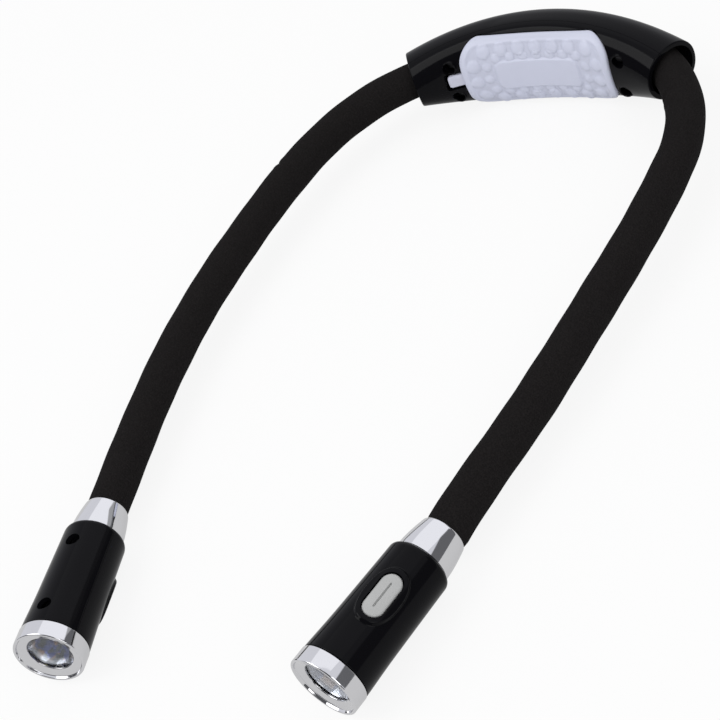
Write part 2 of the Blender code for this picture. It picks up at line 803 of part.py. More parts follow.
def arm_anchor():
    """Ball-nosed metal ferrule: the ball stands at the origin, the flange behind it, X outward."""
    flange = ANCHOR_FRONT_RIB_STATION + ANCHOR_RIB + GAP
    ball_angles = np.linspace(SEAT_FLOOR_ANGLE, math.pi - math.asin(ANCHOR_NECK_RADIUS / SLEEVE_RADIUS), 6)
    profile = [(SLEEVE_RADIUS * math.sin(angle), SLEEVE_RADIUS * math.cos(angle)) for angle in ball_angles]
    profile += [
        (ANCHOR_NECK_RADIUS, -flange),
        (ANCHOR_FLANGE_RADIUS, -flange),
        (ANCHOR_FLANGE_RADIUS, -flange - ANCHOR_FLANGE),
        (ANCHOR_BORE_RADIUS, -flange - ANCHOR_FLANGE),
        (ANCHOR_BORE_RADIUS, SLEEVE_RADIUS * math.cos(SEAT_FLOOR_ANGLE)),
    ]
    anchor = turned(profile, 16)
    anchor.data.transform(Matrix.Rotation(math.pi / 2, 4, "Y"))
    return anchor


# Arm segments


class Route:
    """Centre line of one arm segment: a straight lead-in, then two arcs, in the frame of its joint."""

    def __init__(self, length, turns):
        lead = CORE_START + GAP
        self.points = [Vector((0, 0, 0)), Vector((lead, 0, 0))]
        heading = 0
        for index, turn in enumerate(turns):
            span = length / len(turns) - (lead if index == 0 else 0)
            for step in range(ARC_STEPS):
                middle = heading + math.radians(turn) * (step + 0.5) / ARC_STEPS
                run = Vector((math.cos(middle), math.sin(middle), 0)) * span / ARC_STEPS
                self.points.append(self.points[-1] + run)
            heading += math.radians(turn)
        self.heading = heading
        self.end = self.points[-1]
        self.length = length

    def past_end(self, distance):
        """Point straight on from the end."""
        return self.end + Vector((math.cos(self.heading), math.sin(self.heading), 0)) * distance

    def tube(self, before, bends_radius, after, sides):
        """A tube with (distance, radius) rings before the bends and past the end, and one radius between."""
        places = [Vector((distance, 0, 0)) for distance, _ in before] + self.points[2:]
        radii = [radius for _, radius in before] + [bends_radius] * len(self.points[2:])
        places += [self.past_end(distance) for distance, _ in after]
        radii += [radius for _, radius in after]
        return tube(places, radii, sides)


def ball_ring(radius, angle):
    """(distance, radius) of a ring on a ball, by its angle from the forward axis."""
    return radius * math.cos(angle), radius * math.sin(angle)


def foam_sleeve(route):
    """Foam sleeve: a spherical seat at its start and a dome of the same ball at its end."""
    lead = CORE_START + GAP
    rim = ball_ring(SEAT_RADIUS, SEAT_RIM_ANGLE)[0]
    tip_angle = math.asin(DOME_TIP_RADIUS / SLEEVE_RADIUS)
    nose = [ball_ring(SLEEVE_RADIUS, angle) for angle in np.linspace(math.pi / 2, tip_angle, 4)[1:]]
    sleeve = route.tube([(rim, SLEEVE_RADIUS), (lead, SLEEVE_RADIUS)], SLEEVE_RADIUS, nose, SLEEVE_SIDES)
    bore = CORE_RADIUS + GAP
    open_angle = math.asin(SLEEVE_RADIUS / SEAT_RADIUS)
    angles = np.linspace(open_angle, SEAT_FLOOR_ANGLE, 4)
    seat = [ball_ring(SEAT_RADIUS, angle) for angle in angles] + [(lead, bore)]
    floor = CORE_PAST_JOINT + GAP
    past = [
        (floor, bore),
        (floor + STEP_LENGTH, WIRE_RADIUS),
        (SLEEVE_RADIUS + OVERRUN, WIRE_RADIUS),
    ]
    return cut(sleeve, route.tube(seat, bore, past, SEAT_SIDES))


def arm_core(route):
    """Bendable core inside a sleeve, hollow for the leads."""
    lead = CORE_START + GAP
    start = [(CORE_START, CORE_RADIUS), (lead, CORE_RADIUS)]
    core = route.tube(start, CORE_RADIUS, [(CORE_PAST_JOINT, CORE_RADIUS)], CORE_SIDES)
    start = [(CORE_START - OVERRUN, CORE_BORE_RADIUS), (lead, CORE_BORE_RADIUS)]
    bore = route.tube(start, CORE_BORE_RADIUS, [(CORE_PAST_JOINT + OVERRUN, CORE_BORE_RADIUS)], BORE_SIDES)
    return cut(core, bore)


# Torch head pieces, in the head's own frame: Z runs forward from the joint, X toward the button


def barrel_radius(z):
    """Outer radius of the barrel at a station."""
    stations = (COLLAR_END + GAP + BARREL_SHOULDER, BARREL_WAIST, BARREL_END)
    return float(np.interp(z, stations, (BARREL_SHOULDER_RADIUS, BARREL_WAIST_RADIUS, BARREL_END_RADIUS)))


def barrel_solid():
    """Whole barrel with its end wall round the collar's spigot."""
    start = COLLAR_END + GAP
    floor = start + BARREL_END_WALL
    shoulder = start + BARREL_SHOULDER
    hole = SPIGOT_RADIUS + GAP
    rise = BARREL_SHOULDER_RADIUS - BARREL_START_RADIUS
    outer = [(BARREL_END_RADIUS, BARREL_END), (BARREL_WAIST_RADIUS, BARREL_WAIST)]
    for angle in np.linspace(0, math.pi / 2, 4):
        radius = BARREL_START_RADIUS + rise * math.cos(angle)
        outer.append((radius, shoulder - BARREL_SHOULDER * math.sin(angle)))
    inner = [
        (hole, start),
        (hole, floor),
        (BARREL_SHOULDER_RADIUS - BARREL_WALL, floor),
        (BARREL_WAIST_RADIUS - BARREL_WALL, BARREL_WAIST),
        (BARREL_END_RADIUS - BARREL_WALL, BARREL_END),
    ]
    return turned(outer + inner)


def half_space(front):
    """A box that holds everything on the far side of the parting plane, with its clearance."""
    reach = BEZEL_END
    if front:
        return box((-reach, -reach, -reach), (GAP / 2, reach, 2 * reach))
    return box((-GAP / 2, -reach, -reach), (reach, reach, 2 * reach))


def button_outline(growth):
    """Stadium round the button, grown all round."""
    width = BUTTON_WIDTH + 2 * growth
    return rounded_outline(BUTTON_LENGTH + 2 * growth, width, width / 2, (BUTTON_STATION, 0))


def oval_outline(length, width, centre, count=28):
    """Points of an oval that is fuller than an ellipse."""
    points = []
    for index in range(count):
        angle = 2 * math.pi * index / count
        across, up = math.cos(angle), math.sin(angle)
        first = math.copysign(abs(across) ** OVAL_FULLNESS, across) * length / 2
        points.append((centre + first, math.copysign(abs(up) ** OVAL_FULLNESS, up) * width / 2))
    return points


def drum(radius, start, end):
    """A solid drum about the head's axis."""
    return turned([(0, end), (radius, end), (radius, start), (0, start)])


def head_front_shell():
    """Button-side half of the barrel, with the raised surround and the screw posts."""
    shell = cut(barrel_solid(), half_space(True))
    root = barrel_radius(BUTTON_STATION) - BARREL_WALL / 2
    outline = oval_outline(SURROUND_LENGTH, SURROUND_WIDTH, BUTTON_STATION)
    low, high = BUTTON_STATION - SURROUND_LENGTH, BUTTON_STATION + SURROUND_LENGTH
    raised = common(
        prism(outline, root * math.cos(math.asin(SURROUND_WIDTH / 2 / root)), 2 * root, "X"),
        drum(SURROUND_RADIUS, low, high),
    )
    shell = joined(shell, raised)
    for station in HEAD_SCREW_STATIONS:
        wall = barrel_radius(station) - BARREL_WALL / 2
        tip = math.sqrt(wall**2 - (HEAD_SCREW_SIDE + HEAD_POST_RADIUS) ** 2)
        foot = (HEAD_BOSS_END + GAP, HEAD_SCREW_SIDE, station)
        post = rod(HEAD_POST_RADIUS, foot, (tip, HEAD_SCREW_SIDE, station), 12)
        pilot = rod(
            SCREW_SHANK_RADIUS + GAP,
            (HEAD_BOSS_END - OVERRUN, HEAD_SCREW_SIDE, station),
            (HEAD_SCREW_SEAT + HEAD_SCREW_LENGTH + GAP, HEAD_SCREW_SIDE, station),
            10,
        )
        shell = cut(joined(shell, post), pilot)
    return cut(shell, prism(button_outline(GAP), GAP, 2 * root, "X"))


def head_rear_shell():
    """Back half of the barrel, with two counterbored screw bosses and the switch board's ribs."""
    shell = cut(barrel_solid(), half_space(False))
    boss_radius = SCREW_SINK_RADIUS + SCREW_BOSS_WALL
    cutters = []
    for station in HEAD_SCREW_STATIONS:
        wall = barrel_radius(station) - BARREL_WALL / 2
        root = -math.sqrt(wall**2 - (HEAD_SCREW_SIDE + boss_radius) ** 2)
        far = (-wall - OVERRUN, HEAD_SCREW_SIDE, station)
        top = (HEAD_BOSS_END, HEAD_SCREW_SIDE, station)
        boss = rod(boss_radius, (root, HEAD_SCREW_SIDE, station), top, 16)
        shell = joined(shell, boss)
        cutters.append(rod(SCREW_SINK_RADIUS, far, (HEAD_SCREW_SEAT, HEAD_SCREW_SIDE, station), 12))
        cutters.append(rod(SCREW_SHANK_RADIUS + GAP, far, (0, HEAD_SCREW_SIDE, station), 10))
    for side in (-1, 1):
        centre = BUTTON_STATION + side * SWITCH_RIB_SPREAD
        inside = barrel_radius(centre) - BARREL_WALL / 2
        half = SWITCH_BOARD_WIDTH / 2
        low = (-math.sqrt(inside**2 - half**2), -half, centre - SWITCH_RIB / 2)
        shell = joined(shell, box(low, (switch_board_floor() - GAP, half, centre + SWITCH_RIB / 2)))
    return cut(shell, *cutters)


def collar():
    """Chrome collar: a bell with a spherical seat, a spigot and a flange trapped by the barrel."""
    rim = ball_ring(SEAT_RADIUS, SEAT_RIM_ANGLE)
    spigot_end = COLLAR_END + 2 * GAP + BARREL_END_WALL + GAP
    end = spigot_end + COLLAR_FLANGE
    outer = [(COLLAR_FLANGE_RADIUS, end), (COLLAR_FLANGE_RADIUS, spigot_end), (SPIGOT_RADIUS, spigot_end)]
    outer.append((SPIGOT_RADIUS, COLLAR_END))
    bell = COLLAR_END_RADIUS - COLLAR_RIM_RADIUS
    for share in COLLAR_RING_SHARES:
        radius = COLLAR_RIM_RADIUS + bell * math.sin(share * math.pi / 2)
        outer.append((radius, rim[0] + (COLLAR_END - rim[0]) * share))
    inner = []
    for angle in np.linspace(SEAT_RIM_ANGLE, SEAT_FLOOR_ANGLE, 4):
        distance, radius = ball_ring(SEAT_RADIUS, angle)
        inner.append((radius, distance))
    inner += [(COLLAR_WIRE_RADIUS, COLLAR_END), (COLLAR_WIRE_RADIUS, end)]
    return turned(outer + inner)


def bezel():
    """Chrome front ring with an inward chamfer, a lens lip and a skirt inside the barrel."""
    base = BARREL_END + GAP
    skirt = BARREL_END - BEZEL_SKIRT
    mouth = BEZEL_END - BEZEL_MOUTH_DEPTH
    outer = [
        (BEZEL_RADIUS - BEZEL_EDGE, BEZEL_END),
        (BEZEL_RADIUS - BEZEL_EDGE * EDGE_ROUND_SHARE, BEZEL_END - BEZEL_EDGE * EDGE_ROUND_SHARE),
        (BEZEL_RADIUS, BEZEL_END - BEZEL_EDGE),
        (BEZEL_RADIUS, base),
        (BEZEL_SKIRT_RADIUS, base),
        (BEZEL_SKIRT_RADIUS, skirt),
    ]
    inner = [
        (BEZEL_BORE_RADIUS, skirt),
        (BEZEL_BORE_RADIUS, mouth - BEZEL_LIP),
        (BEZEL_MOUTH_RADIUS, mouth - BEZEL_LIP),
        (BEZEL_MOUTH_RADIUS, mouth),
    ]
    return turned(outer + inner)


def lens_back():
    """Station of the lens's back face."""
    return BEZEL_END - BEZEL_MOUTH_DEPTH - BEZEL_LIP - GAP - LENS_THICKNESS


def lens():
    """Clear disc behind the bezel's lip."""
    back = lens_back()
    return drum(BEZEL_BORE_RADIUS - GAP, back, back + LENS_THICKNESS)


def reflector():
    """Bowl from the lens down to the LED, with a hole at its apex."""
    rim_radius = BEZEL_BORE_RADIUS - GAP
    rim = lens_back() - GAP
    apex = rim - REFLECTOR_DEPTH
    inner, outer = [], []
    for share in BOWL_RING_SHARES:
        height = apex + REFLECTOR_DEPTH * share**2
        radius = REFLECTOR_APEX_RADIUS + (rim_radius - REFLECTOR_WALL - REFLECTOR_APEX_RADIUS) * share
        inner.append((radius, height))
        outer.append((radius + REFLECTOR_WALL, height))
    outer[-1] = (rim_radius, rim)
    outer.insert(-1, (rim_radius, rim - REFLECTOR_WALL))
    return turned(outer[::-1] + inner)


def led_board_top():
    """Station of the LED board's front face, under the reflector's apex."""
    return lens_back() - GAP - REFLECTOR_DEPTH - GAP


def led_board():
    """Round board inside the bezel's skirt."""
    top = led_board_top()
    return drum(BEZEL_BORE_RADIUS - GAP, top - BOARD_THICKNESS, top)


def led():
    """White LED on its board: a round base and a low dome."""
    base = led_board_top() + GAP
    top = base + LED_HEIGHT
    shoulder = base + LED_BASE
    profile = [(0, top)]
    for angle in (math.radians(30), math.radians(60), math.pi / 2):
        profile.append((LED_RADIUS * math.sin(angle), shoulder + (top - shoulder) * math.cos(angle)))
    return turned(profile + [(LED_RADIUS, base), (0, base)], 14)


def button_flange_bottom():
    """X of the underside of the button's flange."""
    return BUTTON_FLANGE_TOP - BUTTON_FLANGE


def button():
    """Push button with a crowned face and a flange that keeps it in, in the head's frame."""
    low = button_flange_bottom()
    reach = BUTTON_LENGTH
    face = common(
        prism(button_outline(0), low, 2 * BUTTON_RADIUS, "X"),
        drum(BUTTON_RADIUS, BUTTON_STATION - reach, BUTTON_STATION + reach),
    )
    return joined(face, prism(button_outline(BUTTON_FLANGE_MARGIN), low, BUTTON_FLANGE_TOP, "X"))


def switch_plunger_top():
    """X of the plunger's tip, just under the pressed button."""
    return button_flange_bottom() - BUTTON_TRAVEL - GAP


def switch_board_floor():
    """X of the switch board's back face, on the rear shell's ribs."""
    return switch_plunger_top() - SWITCH_BODY - BOARD_THICKNESS - BUTTON_TRAVEL


def switch():
    """Push switch on its small board."""
    floor = switch_board_floor()
    deck = floor + BOARD_THICKNESS
    long, wide, side = SWITCH_BOARD_LENGTH / 2, SWITCH_BOARD_WIDTH / 2, SWITCH_SIDE / 2
    board = box((floor, -wide, BUTTON_STATION - long), (deck, wide, BUTTON_STATION + long))
    sunk = deck - BOARD_THICKNESS / 2
    body = box((sunk, -side, BUTTON_STATION - side), (deck + SWITCH_BODY, side, BUTTON_STATION + side))
    plunger_tip = (switch_plunger_top(), 0, BUTTON_STATION)
    plunger = rod(SWITCH_PLUNGER_RADIUS, (deck, 0, BUTTON_STATION), plunger_tip, 12)
    return joined(board, body, plunger)


def head_outline():
    """(station, radius) points of the head that can touch a table."""
    shoulder = COLLAR_END + GAP + BARREL_SHOULDER
    return [
        (COLLAR_END, COLLAR_END_RADIUS),
        (shoulder, BARREL_SHOULDER_RADIUS),
        (BARREL_WAIST, BARREL_WAIST_RADIUS),
        (BARREL_END, BARREL_END_RADIUS),
        (BEZEL_END - BEZEL_EDGE, BEZEL_RADIUS),
    ]


def resting_height(pitch, roll):
    """Height of the head's joint when the head lies on the table at this pitch and button roll."""
    points = head_outline()
    surround_reach = math.degrees(math.asin(SURROUND_WIDTH / 2 / SURROUND_RADIUS))
    if 180 - abs(roll) < surround_reach:
        reach = SURROUND_LENGTH * SURROUND_FLAT_SHARE
        points += [(BUTTON_STATION + side * reach, SURROUND_RADIUS) for side in (-1, 1)]
    tilt = math.radians(pitch)
    return max(radius * math.cos(tilt) - station * math.sin(tilt) for station, radius in points)


# Assembly


def add_empty(name, parent, location=(0, 0, 0), rotation=(0, 0, 0), order="XYZ"):
    """An empty in the part's collection, under its parent."""
    empty = bpy.data.objects.new(name, None)
    empty.empty_display_size = SLEEVE_RADIUS
    empty.parent = parent
    empty.location = location
    empty.rotation_mode = order
    empty.rotation_euler = rotation
    bpy.data.collections[NAME].objects.link(empty)
    return empty


def add_piece(name, shape, material, parent=None, location=(0, 0, 0), rotation=(0, 0, 0)):
    """A named piece of the light that takes over the mesh of a working object."""
    mesh = shape.data
    bpy.data.objects.remove(shape)
    mesh.name = name
    mesh.materials.clear()
    mesh.materials.append(make_material(material))
    mesh.shade_smooth()
    mesh.set_sharp_from_angle(angle=math.radians(30))
    return place_piece(name, mesh, parent, location, rotation)


def place_piece(name, mesh, parent=None, location=(0, 0, 0), rotation=(0, 0, 0)):
    """An object for a finished mesh, which other objects may share."""
    piece = bpy.data.objects.new(name, mesh)
    piece.parent = parent
    piece.location = location
    piece.rotation_euler = rotation
    bpy.data.collections[NAME].objects.link(piece)
    return piece


def add_copies(places, shape, material):
    """Pieces that share one mesh, at (name, parent, location, rotation) places."""
    name, *first = places[0]
    mesh = add_piece(name, shape, material, *first).data
    for name, *place in places[1:]:
        place_piece(name, mesh, *place)


def centre_on(shape, place):
    """Move a working mesh so that the place becomes its origin."""
    shape.data.transform(Matrix.Translation(-Vector(place)))
    return shape


def build_housing():
    """The two shells, the four screws and what is inside."""
    add_piece("housing_rear_shell", rear_shell(), "gloss_black")
    add_piece("housing_inner_shell", inner_shell(), "gloss_black")
    screws = []
    for index, (x, z) in enumerate(housing_screw_places(), start=1):
        seat = screw_face_y(x, z) + SCREW_SINK_DEPTH - GAP
        screws.append((f"housing_screw_{index}", None, (x, seat, z), (math.pi / 2, 0, 0)))
    add_copies(screws, screw_mesh(HOUSING_SCREW_LENGTH), "steel")
    cells = []
    for index, turn in enumerate((math.pi / 2, -math.pi / 2)):
        y, z = cell_axis(index)
        cells.append((f"battery_cell_{index + 1}", None, (0, y, z), (0, turn, 0)))
    add_copies(cells, battery_cell(), "cell_jacket")
    back = bulkhead_station() - GAP
    y, upper = cell_axis(0)
    lower = cell_axis(1)[1]
    add_piece("bridge_contact", bridge_contact(), "spring_brass", None, (back, y, HOUSING_CENTRE_HEIGHT))
    left_turn = (0, 0, math.pi)
    negative = negative_spring_contact()
    add_piece("negative_spring_contact", negative, "spring_brass", None, (-back, y, upper), left_turn)
    add_piece("positive_contact", positive_contact(), "spring_brass", None, (-back, y, lower), left_turn)


def build_door():
    """Battery door and its pad, under an empty on the hinge line at the right end."""
    hinge_x = DOOR_WIDTH / 2 + HINGE_OUTSET
    place, normal = neck_place(hinge_x, 0)
    joint = add_empty("door_joint", None, (hinge_x, place.y, HOUSING_CENTRE_HEIGHT))
    add_piece("battery_door", centre_on(battery_door(), joint.location), "door_white", joint)
    add_piece("neck_pad", centre_on(neck_pad(), joint.location), "pad_lavender", joint)


def arm_routes(arm):
    """The routes of an arm's segments, two arcs each."""
    length = arm["length"] / SEGMENTS
    turns = arm["turns"]
    return [Route(length, turns[2 * index : 2 * index + 2]) for index in range(SEGMENTS)]


def arm_reach(arm, routes):
    """How far toward -Y the arm's end lies from its root, within the arm's plane."""
    place, heading = Vector((0, 0, 0)), math.radians(arm["heading"])
    for route in routes:
        place += Matrix.Rotation(heading, 3, "Z") @ route.end
        heading += route.heading
    return -place.y, heading


def build_arm(side_name, arm):
    """One arm: its anchor, four sleeves with cores, and the empty that carries the head."""
    routes = arm_routes(arm)
    root = mouth_frame(arm["side"])
    anchor_turn = root.to_euler()
    add_piece(f"{side_name}_arm_anchor", arm_anchor(), "steel", None, root.translation, anchor_turn)
    reach, heading = arm_reach(arm, routes)
    drop = HOUSING_CENTRE_HEIGHT - resting_height(arm["head_pitch"], arm["button_roll"])
    tilt = math.asin(drop / reach)
    plane = add_empty(f"{side_name}_arm_plane", None, root.translation, (tilt, 0, 0))
    parent, location, turn = plane, (0, 0, 0), math.radians(arm["heading"])
    for index, route in enumerate(routes, start=1):
        joint = add_empty(f"{side_name}_joint_{index}", parent, location, (0, 0, turn))
        add_piece(f"{side_name}_foam_sleeve_{index}", foam_sleeve(route), "foam_black", joint)
        add_piece(f"{side_name}_arm_core_{index}", arm_core(route), "steel", joint)
        parent, location, turn = joint, route.end, route.heading
    plane_pitch = math.asin(math.sin(heading) * math.sin(tilt))
    pitch = math.radians(arm["head_pitch"]) - plane_pitch
    yaw = turn + math.radians(arm["head_yaw"])
    joint = add_empty(f"{side_name}_joint_5", parent, location, (0, -pitch, yaw))
    roll = math.radians(180 - arm["button_roll"])
    return add_empty(f"{side_name}_head_frame", joint, (0, 0, 0), (roll, math.pi / 2, 0), "ZYX")


def head_shapes():
    """Finished meshes of one torch head with their materials, in the head's frame."""
    makers = {
        "collar": (collar, "chrome"),
        "head_front_shell": (head_front_shell, "gloss_black"),
        "head_rear_shell": (head_rear_shell, "gloss_black"),
        "bezel": (bezel, "chrome"),
        "lens": (lens, "clear_lens"),
        "reflector": (reflector, "chrome"),
        "led_board": (led_board, "board_white"),
        "led": (led, "led_resin"),
        "switch": (switch, "board_green"),
    }
    return {name: (maker(), material) for name, (maker, material) in makers.items()}


def build_heads(frames):
    """Both torch heads, with their pieces in the frames: the pieces of a pair share one mesh."""
    for name, (shape, material) in head_shapes().items():
        add_copies([(f"{side_name}_{name}", frame) for side_name, frame in frames.items()], shape, material)
    centre = (BUTTON_RADIUS, 0, BUTTON_STATION)
    buttons, screws = [], []
    for side_name, frame in frames.items():
        rest = add_empty(f"{side_name}_button_joint", frame, centre)
        buttons.append((f"{side_name}_button", rest))
        for index, station in enumerate(HEAD_SCREW_STATIONS, start=1):
            seat = (HEAD_SCREW_SEAT - GAP, HEAD_SCREW_SIDE, station)
            screws.append((f"{side_name}_head_screw_{index}", frame, seat, (0, -math.pi / 2, 0)))
    add_copies(buttons, centre_on(button(), centre), "button_grey")
    add_copies(screws, screw_mesh(HEAD_SCREW_LENGTH), "steel")


def set_back():
    """Move the whole light back, so that the flat under the arch that it rests on is at the origin."""
    for item in bpy.data.collections[NAME].objects:
        if item.parent is None:
            item.location.y += REST_SETBACK


def main():
    """Build the whole light."""
    clear_scene()
    make_collection(NAME)
    build_housing()
    build_door()
    frames = {side_name: build_arm(side_name, arm) for side_name, arm in ARMS.items()}
    build_heads(frames)
    set_back()
    bpy.context.view_layer.update()


main()
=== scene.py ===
"""Neck reading light: smooth shells, a bumped pad, foam arms and chrome torch heads in a white studio.

Every length is in metres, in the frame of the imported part: +Z up from the table, arms toward -Y.
"""

from __future__ import annotations

import json
import logging
import math
from collections.abc import Callable
from dataclasses import dataclass
from enum import Enum

import bmesh
import bpy
import numpy as np
from mathutils import Matrix, Vector

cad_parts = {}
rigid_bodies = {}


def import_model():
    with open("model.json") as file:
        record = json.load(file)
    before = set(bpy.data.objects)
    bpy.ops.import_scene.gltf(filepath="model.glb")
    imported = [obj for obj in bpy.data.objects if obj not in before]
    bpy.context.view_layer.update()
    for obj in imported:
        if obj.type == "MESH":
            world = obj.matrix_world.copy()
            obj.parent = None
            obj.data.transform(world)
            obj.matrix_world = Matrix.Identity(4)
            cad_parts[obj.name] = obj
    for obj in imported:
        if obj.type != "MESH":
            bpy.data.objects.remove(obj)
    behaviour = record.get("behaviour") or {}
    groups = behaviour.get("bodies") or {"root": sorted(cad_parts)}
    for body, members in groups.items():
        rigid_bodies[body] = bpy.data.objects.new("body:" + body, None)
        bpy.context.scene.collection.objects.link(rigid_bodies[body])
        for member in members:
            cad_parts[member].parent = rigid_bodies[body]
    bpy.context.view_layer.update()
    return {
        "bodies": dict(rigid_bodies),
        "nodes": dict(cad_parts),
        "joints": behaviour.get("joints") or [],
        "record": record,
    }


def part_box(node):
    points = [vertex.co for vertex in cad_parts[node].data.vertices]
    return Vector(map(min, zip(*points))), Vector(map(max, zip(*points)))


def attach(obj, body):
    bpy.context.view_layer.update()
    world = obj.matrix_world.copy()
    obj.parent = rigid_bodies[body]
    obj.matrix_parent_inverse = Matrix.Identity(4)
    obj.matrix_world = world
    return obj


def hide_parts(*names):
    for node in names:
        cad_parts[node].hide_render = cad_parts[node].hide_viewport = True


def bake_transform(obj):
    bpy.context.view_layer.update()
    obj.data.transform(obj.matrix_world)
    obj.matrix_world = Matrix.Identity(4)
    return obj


LOG = logging.getLogger("neck_reading_light")
MERGE = 0.000002  # points nearer than this are one
NORMAL_STEP = 0.00001  # step over which a field's slope is taken
SKIN_DEPTH = 0.00002  # points nearer than this to a field's zero lie on its skin
SKIN_AGREEMENT = 0.9  # least cosine between a face and the skin that it lies on
CUT_CREASE = 30  # angle in degrees past which an edge of a cut piece shows sharp
FOAM_CREASE = 60  # the same for a stretch of foam
PAD_CREASE = 70  # the same for the neck pad
BUTTON_CREASE = 50  # the same for a push button
TINY = 1e-12  # keeps a length of nought from dividing
RIM_SHARES = (0, 0.08, 0.25, 0.55, 1.0)  # rows of points over a rounding, as shares of it
HINGES = ("root_lift", "near_swing", "middle_lift", "far_swing", "head_tilt")
Grid = np.ndarray
Field = Callable[[Grid], Grid]
Colour = tuple[float, float, float]
WHITE: Colour = (1.0, 1.0, 1.0)
BLACK: Colour = (0.0, 0.0, 0.0)


class Side(Enum):
    """The two arms, by the names of their nodes."""

    LEFT = "left"
    RIGHT = "right"


# Surfaces on grids of two parameters


def quads(rows: int, columns: int, wrap_rows: bool, wrap_columns: bool) -> Grid:
    """Corner numbers of a grid's cells: each cell takes its point, the next in its row, and the two below.

    Args:
        rows: Number of rows of points.
        columns: Number of points in a row.
        wrap_rows: Whether the last row joins the first.
        wrap_columns: Whether each row closes on itself.

    Returns:
        An array of four point numbers per cell.
    """
    row = np.arange(rows if wrap_rows else rows - 1)[:, None]
    column = np.arange(columns if wrap_columns else columns - 1)[None, :]
    below = (row + 1) % rows
    beside = (column + 1) % columns
    here, under = row * columns, below * columns
    return np.stack([here + column, here + beside, under + beside, under + column], axis=-1).reshape(-1, 4)


@dataclass
class Solid:
    """Points and four-cornered faces of closed surfaces.

    Attributes:
        points: Places, one row each.
        faces: Four point numbers per face; corners that coincide are merged later.
    """

    points: Grid
    faces: Grid

    @classmethod
    def loop(cls, grid: Grid) -> Solid:
        """A surface closed both ways, or closed by rows that shrink to a point.

        Args:
            grid: Points by row and column; the rows run round the wall's section.

        Returns:
            The solid.
        """
        rows, columns = grid.shape[:2]
        return cls(grid.reshape(-1, 3), quads(rows, columns, True, True))

    @classmethod
    def sheet(cls, outer: Grid, inner: Grid, wrapped: bool = False) -> Solid:
        """Two faces of a wall, joined along the wall's rim.

        Args:
            outer: Points of the outer face by row and column.
            inner: Points of the inner face, one for each of the outer's.
            wrapped: Whether the rows close on themselves, so that only the first and last have a rim.

        Returns:
            The solid.
        """
        rows, columns = outer.shape[:2]
        count = rows * columns
        cells = quads(rows, columns, False, wrapped)
        number = np.arange(count).reshape(rows, columns)
        if wrapped:
            runs = [np.append(number[0], number[0, 0]), np.append(number[-1], number[-1, 0])]
        else:
            sides = [number[0], number[1:, -1], number[-1, -2::-1], number[-2::-1, 0]]
            runs = [np.concatenate(sides)]
        faces = [cells, cells[:, ::-1] + count]
        faces += [np.stack([run[:-1], run[1:], run[1:] + count, run[:-1] + count], axis=-1) for run in runs]
        points = np.concatenate([outer.reshape(-1, 3), inner.reshape(-1, 3)])
        return cls(points, np.concatenate(faces))

    def placed(self, frame: Grid) -> Solid:
        """The same solid, moved by a 4 x 4 frame."""
        return Solid(self.points @ frame[:3, :3].T + frame[:3, 3], self.faces)

    def __add__(self, other: Solid) -> Solid:
        """Both solids as one, side by side."""
        points = np.concatenate([self.points, other.points])
        return Solid(points, np.concatenate([self.faces, other.faces + len(self.points)]))

    def piece(self, name: str, crease: float = 40) -> bpy.types.Object:
        """An object of this solid, at the origin, with merged doubles and outward faces.

        Args:
            name: Name of the object.
            crease: Angle in degrees past which an edge shows sharp.

        Returns:
            The object.
        """
        mesh = bpy.data.meshes.new(name)
        mesh.from_pydata(self.points.tolist(), [], self.faces.tolist())
        shape = bmesh.new()
        shape.from_mesh(mesh)
        bmesh.ops.remove_doubles(shape, verts=shape.verts, dist=MERGE)
        bmesh.ops.dissolve_degenerate(shape, edges=shape.edges, dist=MERGE)
        bmesh.ops.recalc_face_normals(shape, faces=shape.faces)
        shape.to_mesh(mesh)
        shape.free()
        mesh.shade_smooth()
        mesh.set_sharp_from_angle(angle=math.radians(crease))
        item = bpy.data.objects.new(name, mesh)
        bpy.context.scene.collection.objects.link(item)
        return item


def frame_of(origin: Grid, along: Grid, sideways: Grid) -> Grid:
    """A frame whose Z runs along one direction and whose X lies nearest to another.

    Args:
        origin: Its place.
        along: Direction of its Z.
        sideways: Direction that its X comes nearest to.

    Returns:
        The 4 x 4 frame.
    """
    z = np.array(along, float) / np.linalg.norm(along)
    x = np.array(sideways, float) - np.dot(sideways, z) * z
    x /= np.linalg.norm(x)
    frame = np.eye(4)
    frame[:3, 0], frame[:3, 1], frame[:3, 2], frame[:3, 3] = x, np.cross(z, x), z, origin
    return frame


def turned(radius: Grid, angle: Grid, height: Grid) -> Grid:
    """Points about Z: (r cos a, r sin a, h)."""
    x = radius * np.cos(angle)
    return np.stack([x, radius * np.sin(angle), height + 0 * x], axis=-1)


def lathe(profile: Grid, sides: int) -> Solid:
    """A closed section turned about Z.

    Args:
        profile: (radius, height) points of the section.
        sides: Number of steps round the axis.

    Returns:
        The solid.
    """
    angle = np.linspace(0, 2 * math.pi, sides, endpoint=False)
    return Solid.loop(turned(profile[:, :1], angle, profile[:, 1:]))


def eased(corners: list[tuple[float, float, float]], steps: int = 6) -> Grid:
    """A closed section with rounded corners: a parabola from a point before each corner to one after it.

    Args:
        corners: (radius, height, rounding) of each corner; a rounding of zero keeps it sharp.
        steps: Points on each rounding.

    Returns:
        (radius, height) points of the section.
    """
    table = np.array(corners, float)
    place, ease = table[:, :2], table[:, 2:]
    before, after = np.roll(place, 1, axis=0) - place, np.roll(place, -1, axis=0) - place
    reach_before = np.minimum(ease / np.linalg.norm(before, axis=1, keepdims=True), 0.49)
    reach_after = np.minimum(ease / np.linalg.norm(after, axis=1, keepdims=True), 0.49)
    first, last = place + before * reach_before, place + after * reach_after
    s = np.linspace(0, 1, steps)[None, :, None]
    bend = (1 - s) ** 2 * first[:, None] + 2 * s * (1 - s) * place[:, None] + s**2 * last[:, None]
    return bend.reshape(-1, 2)


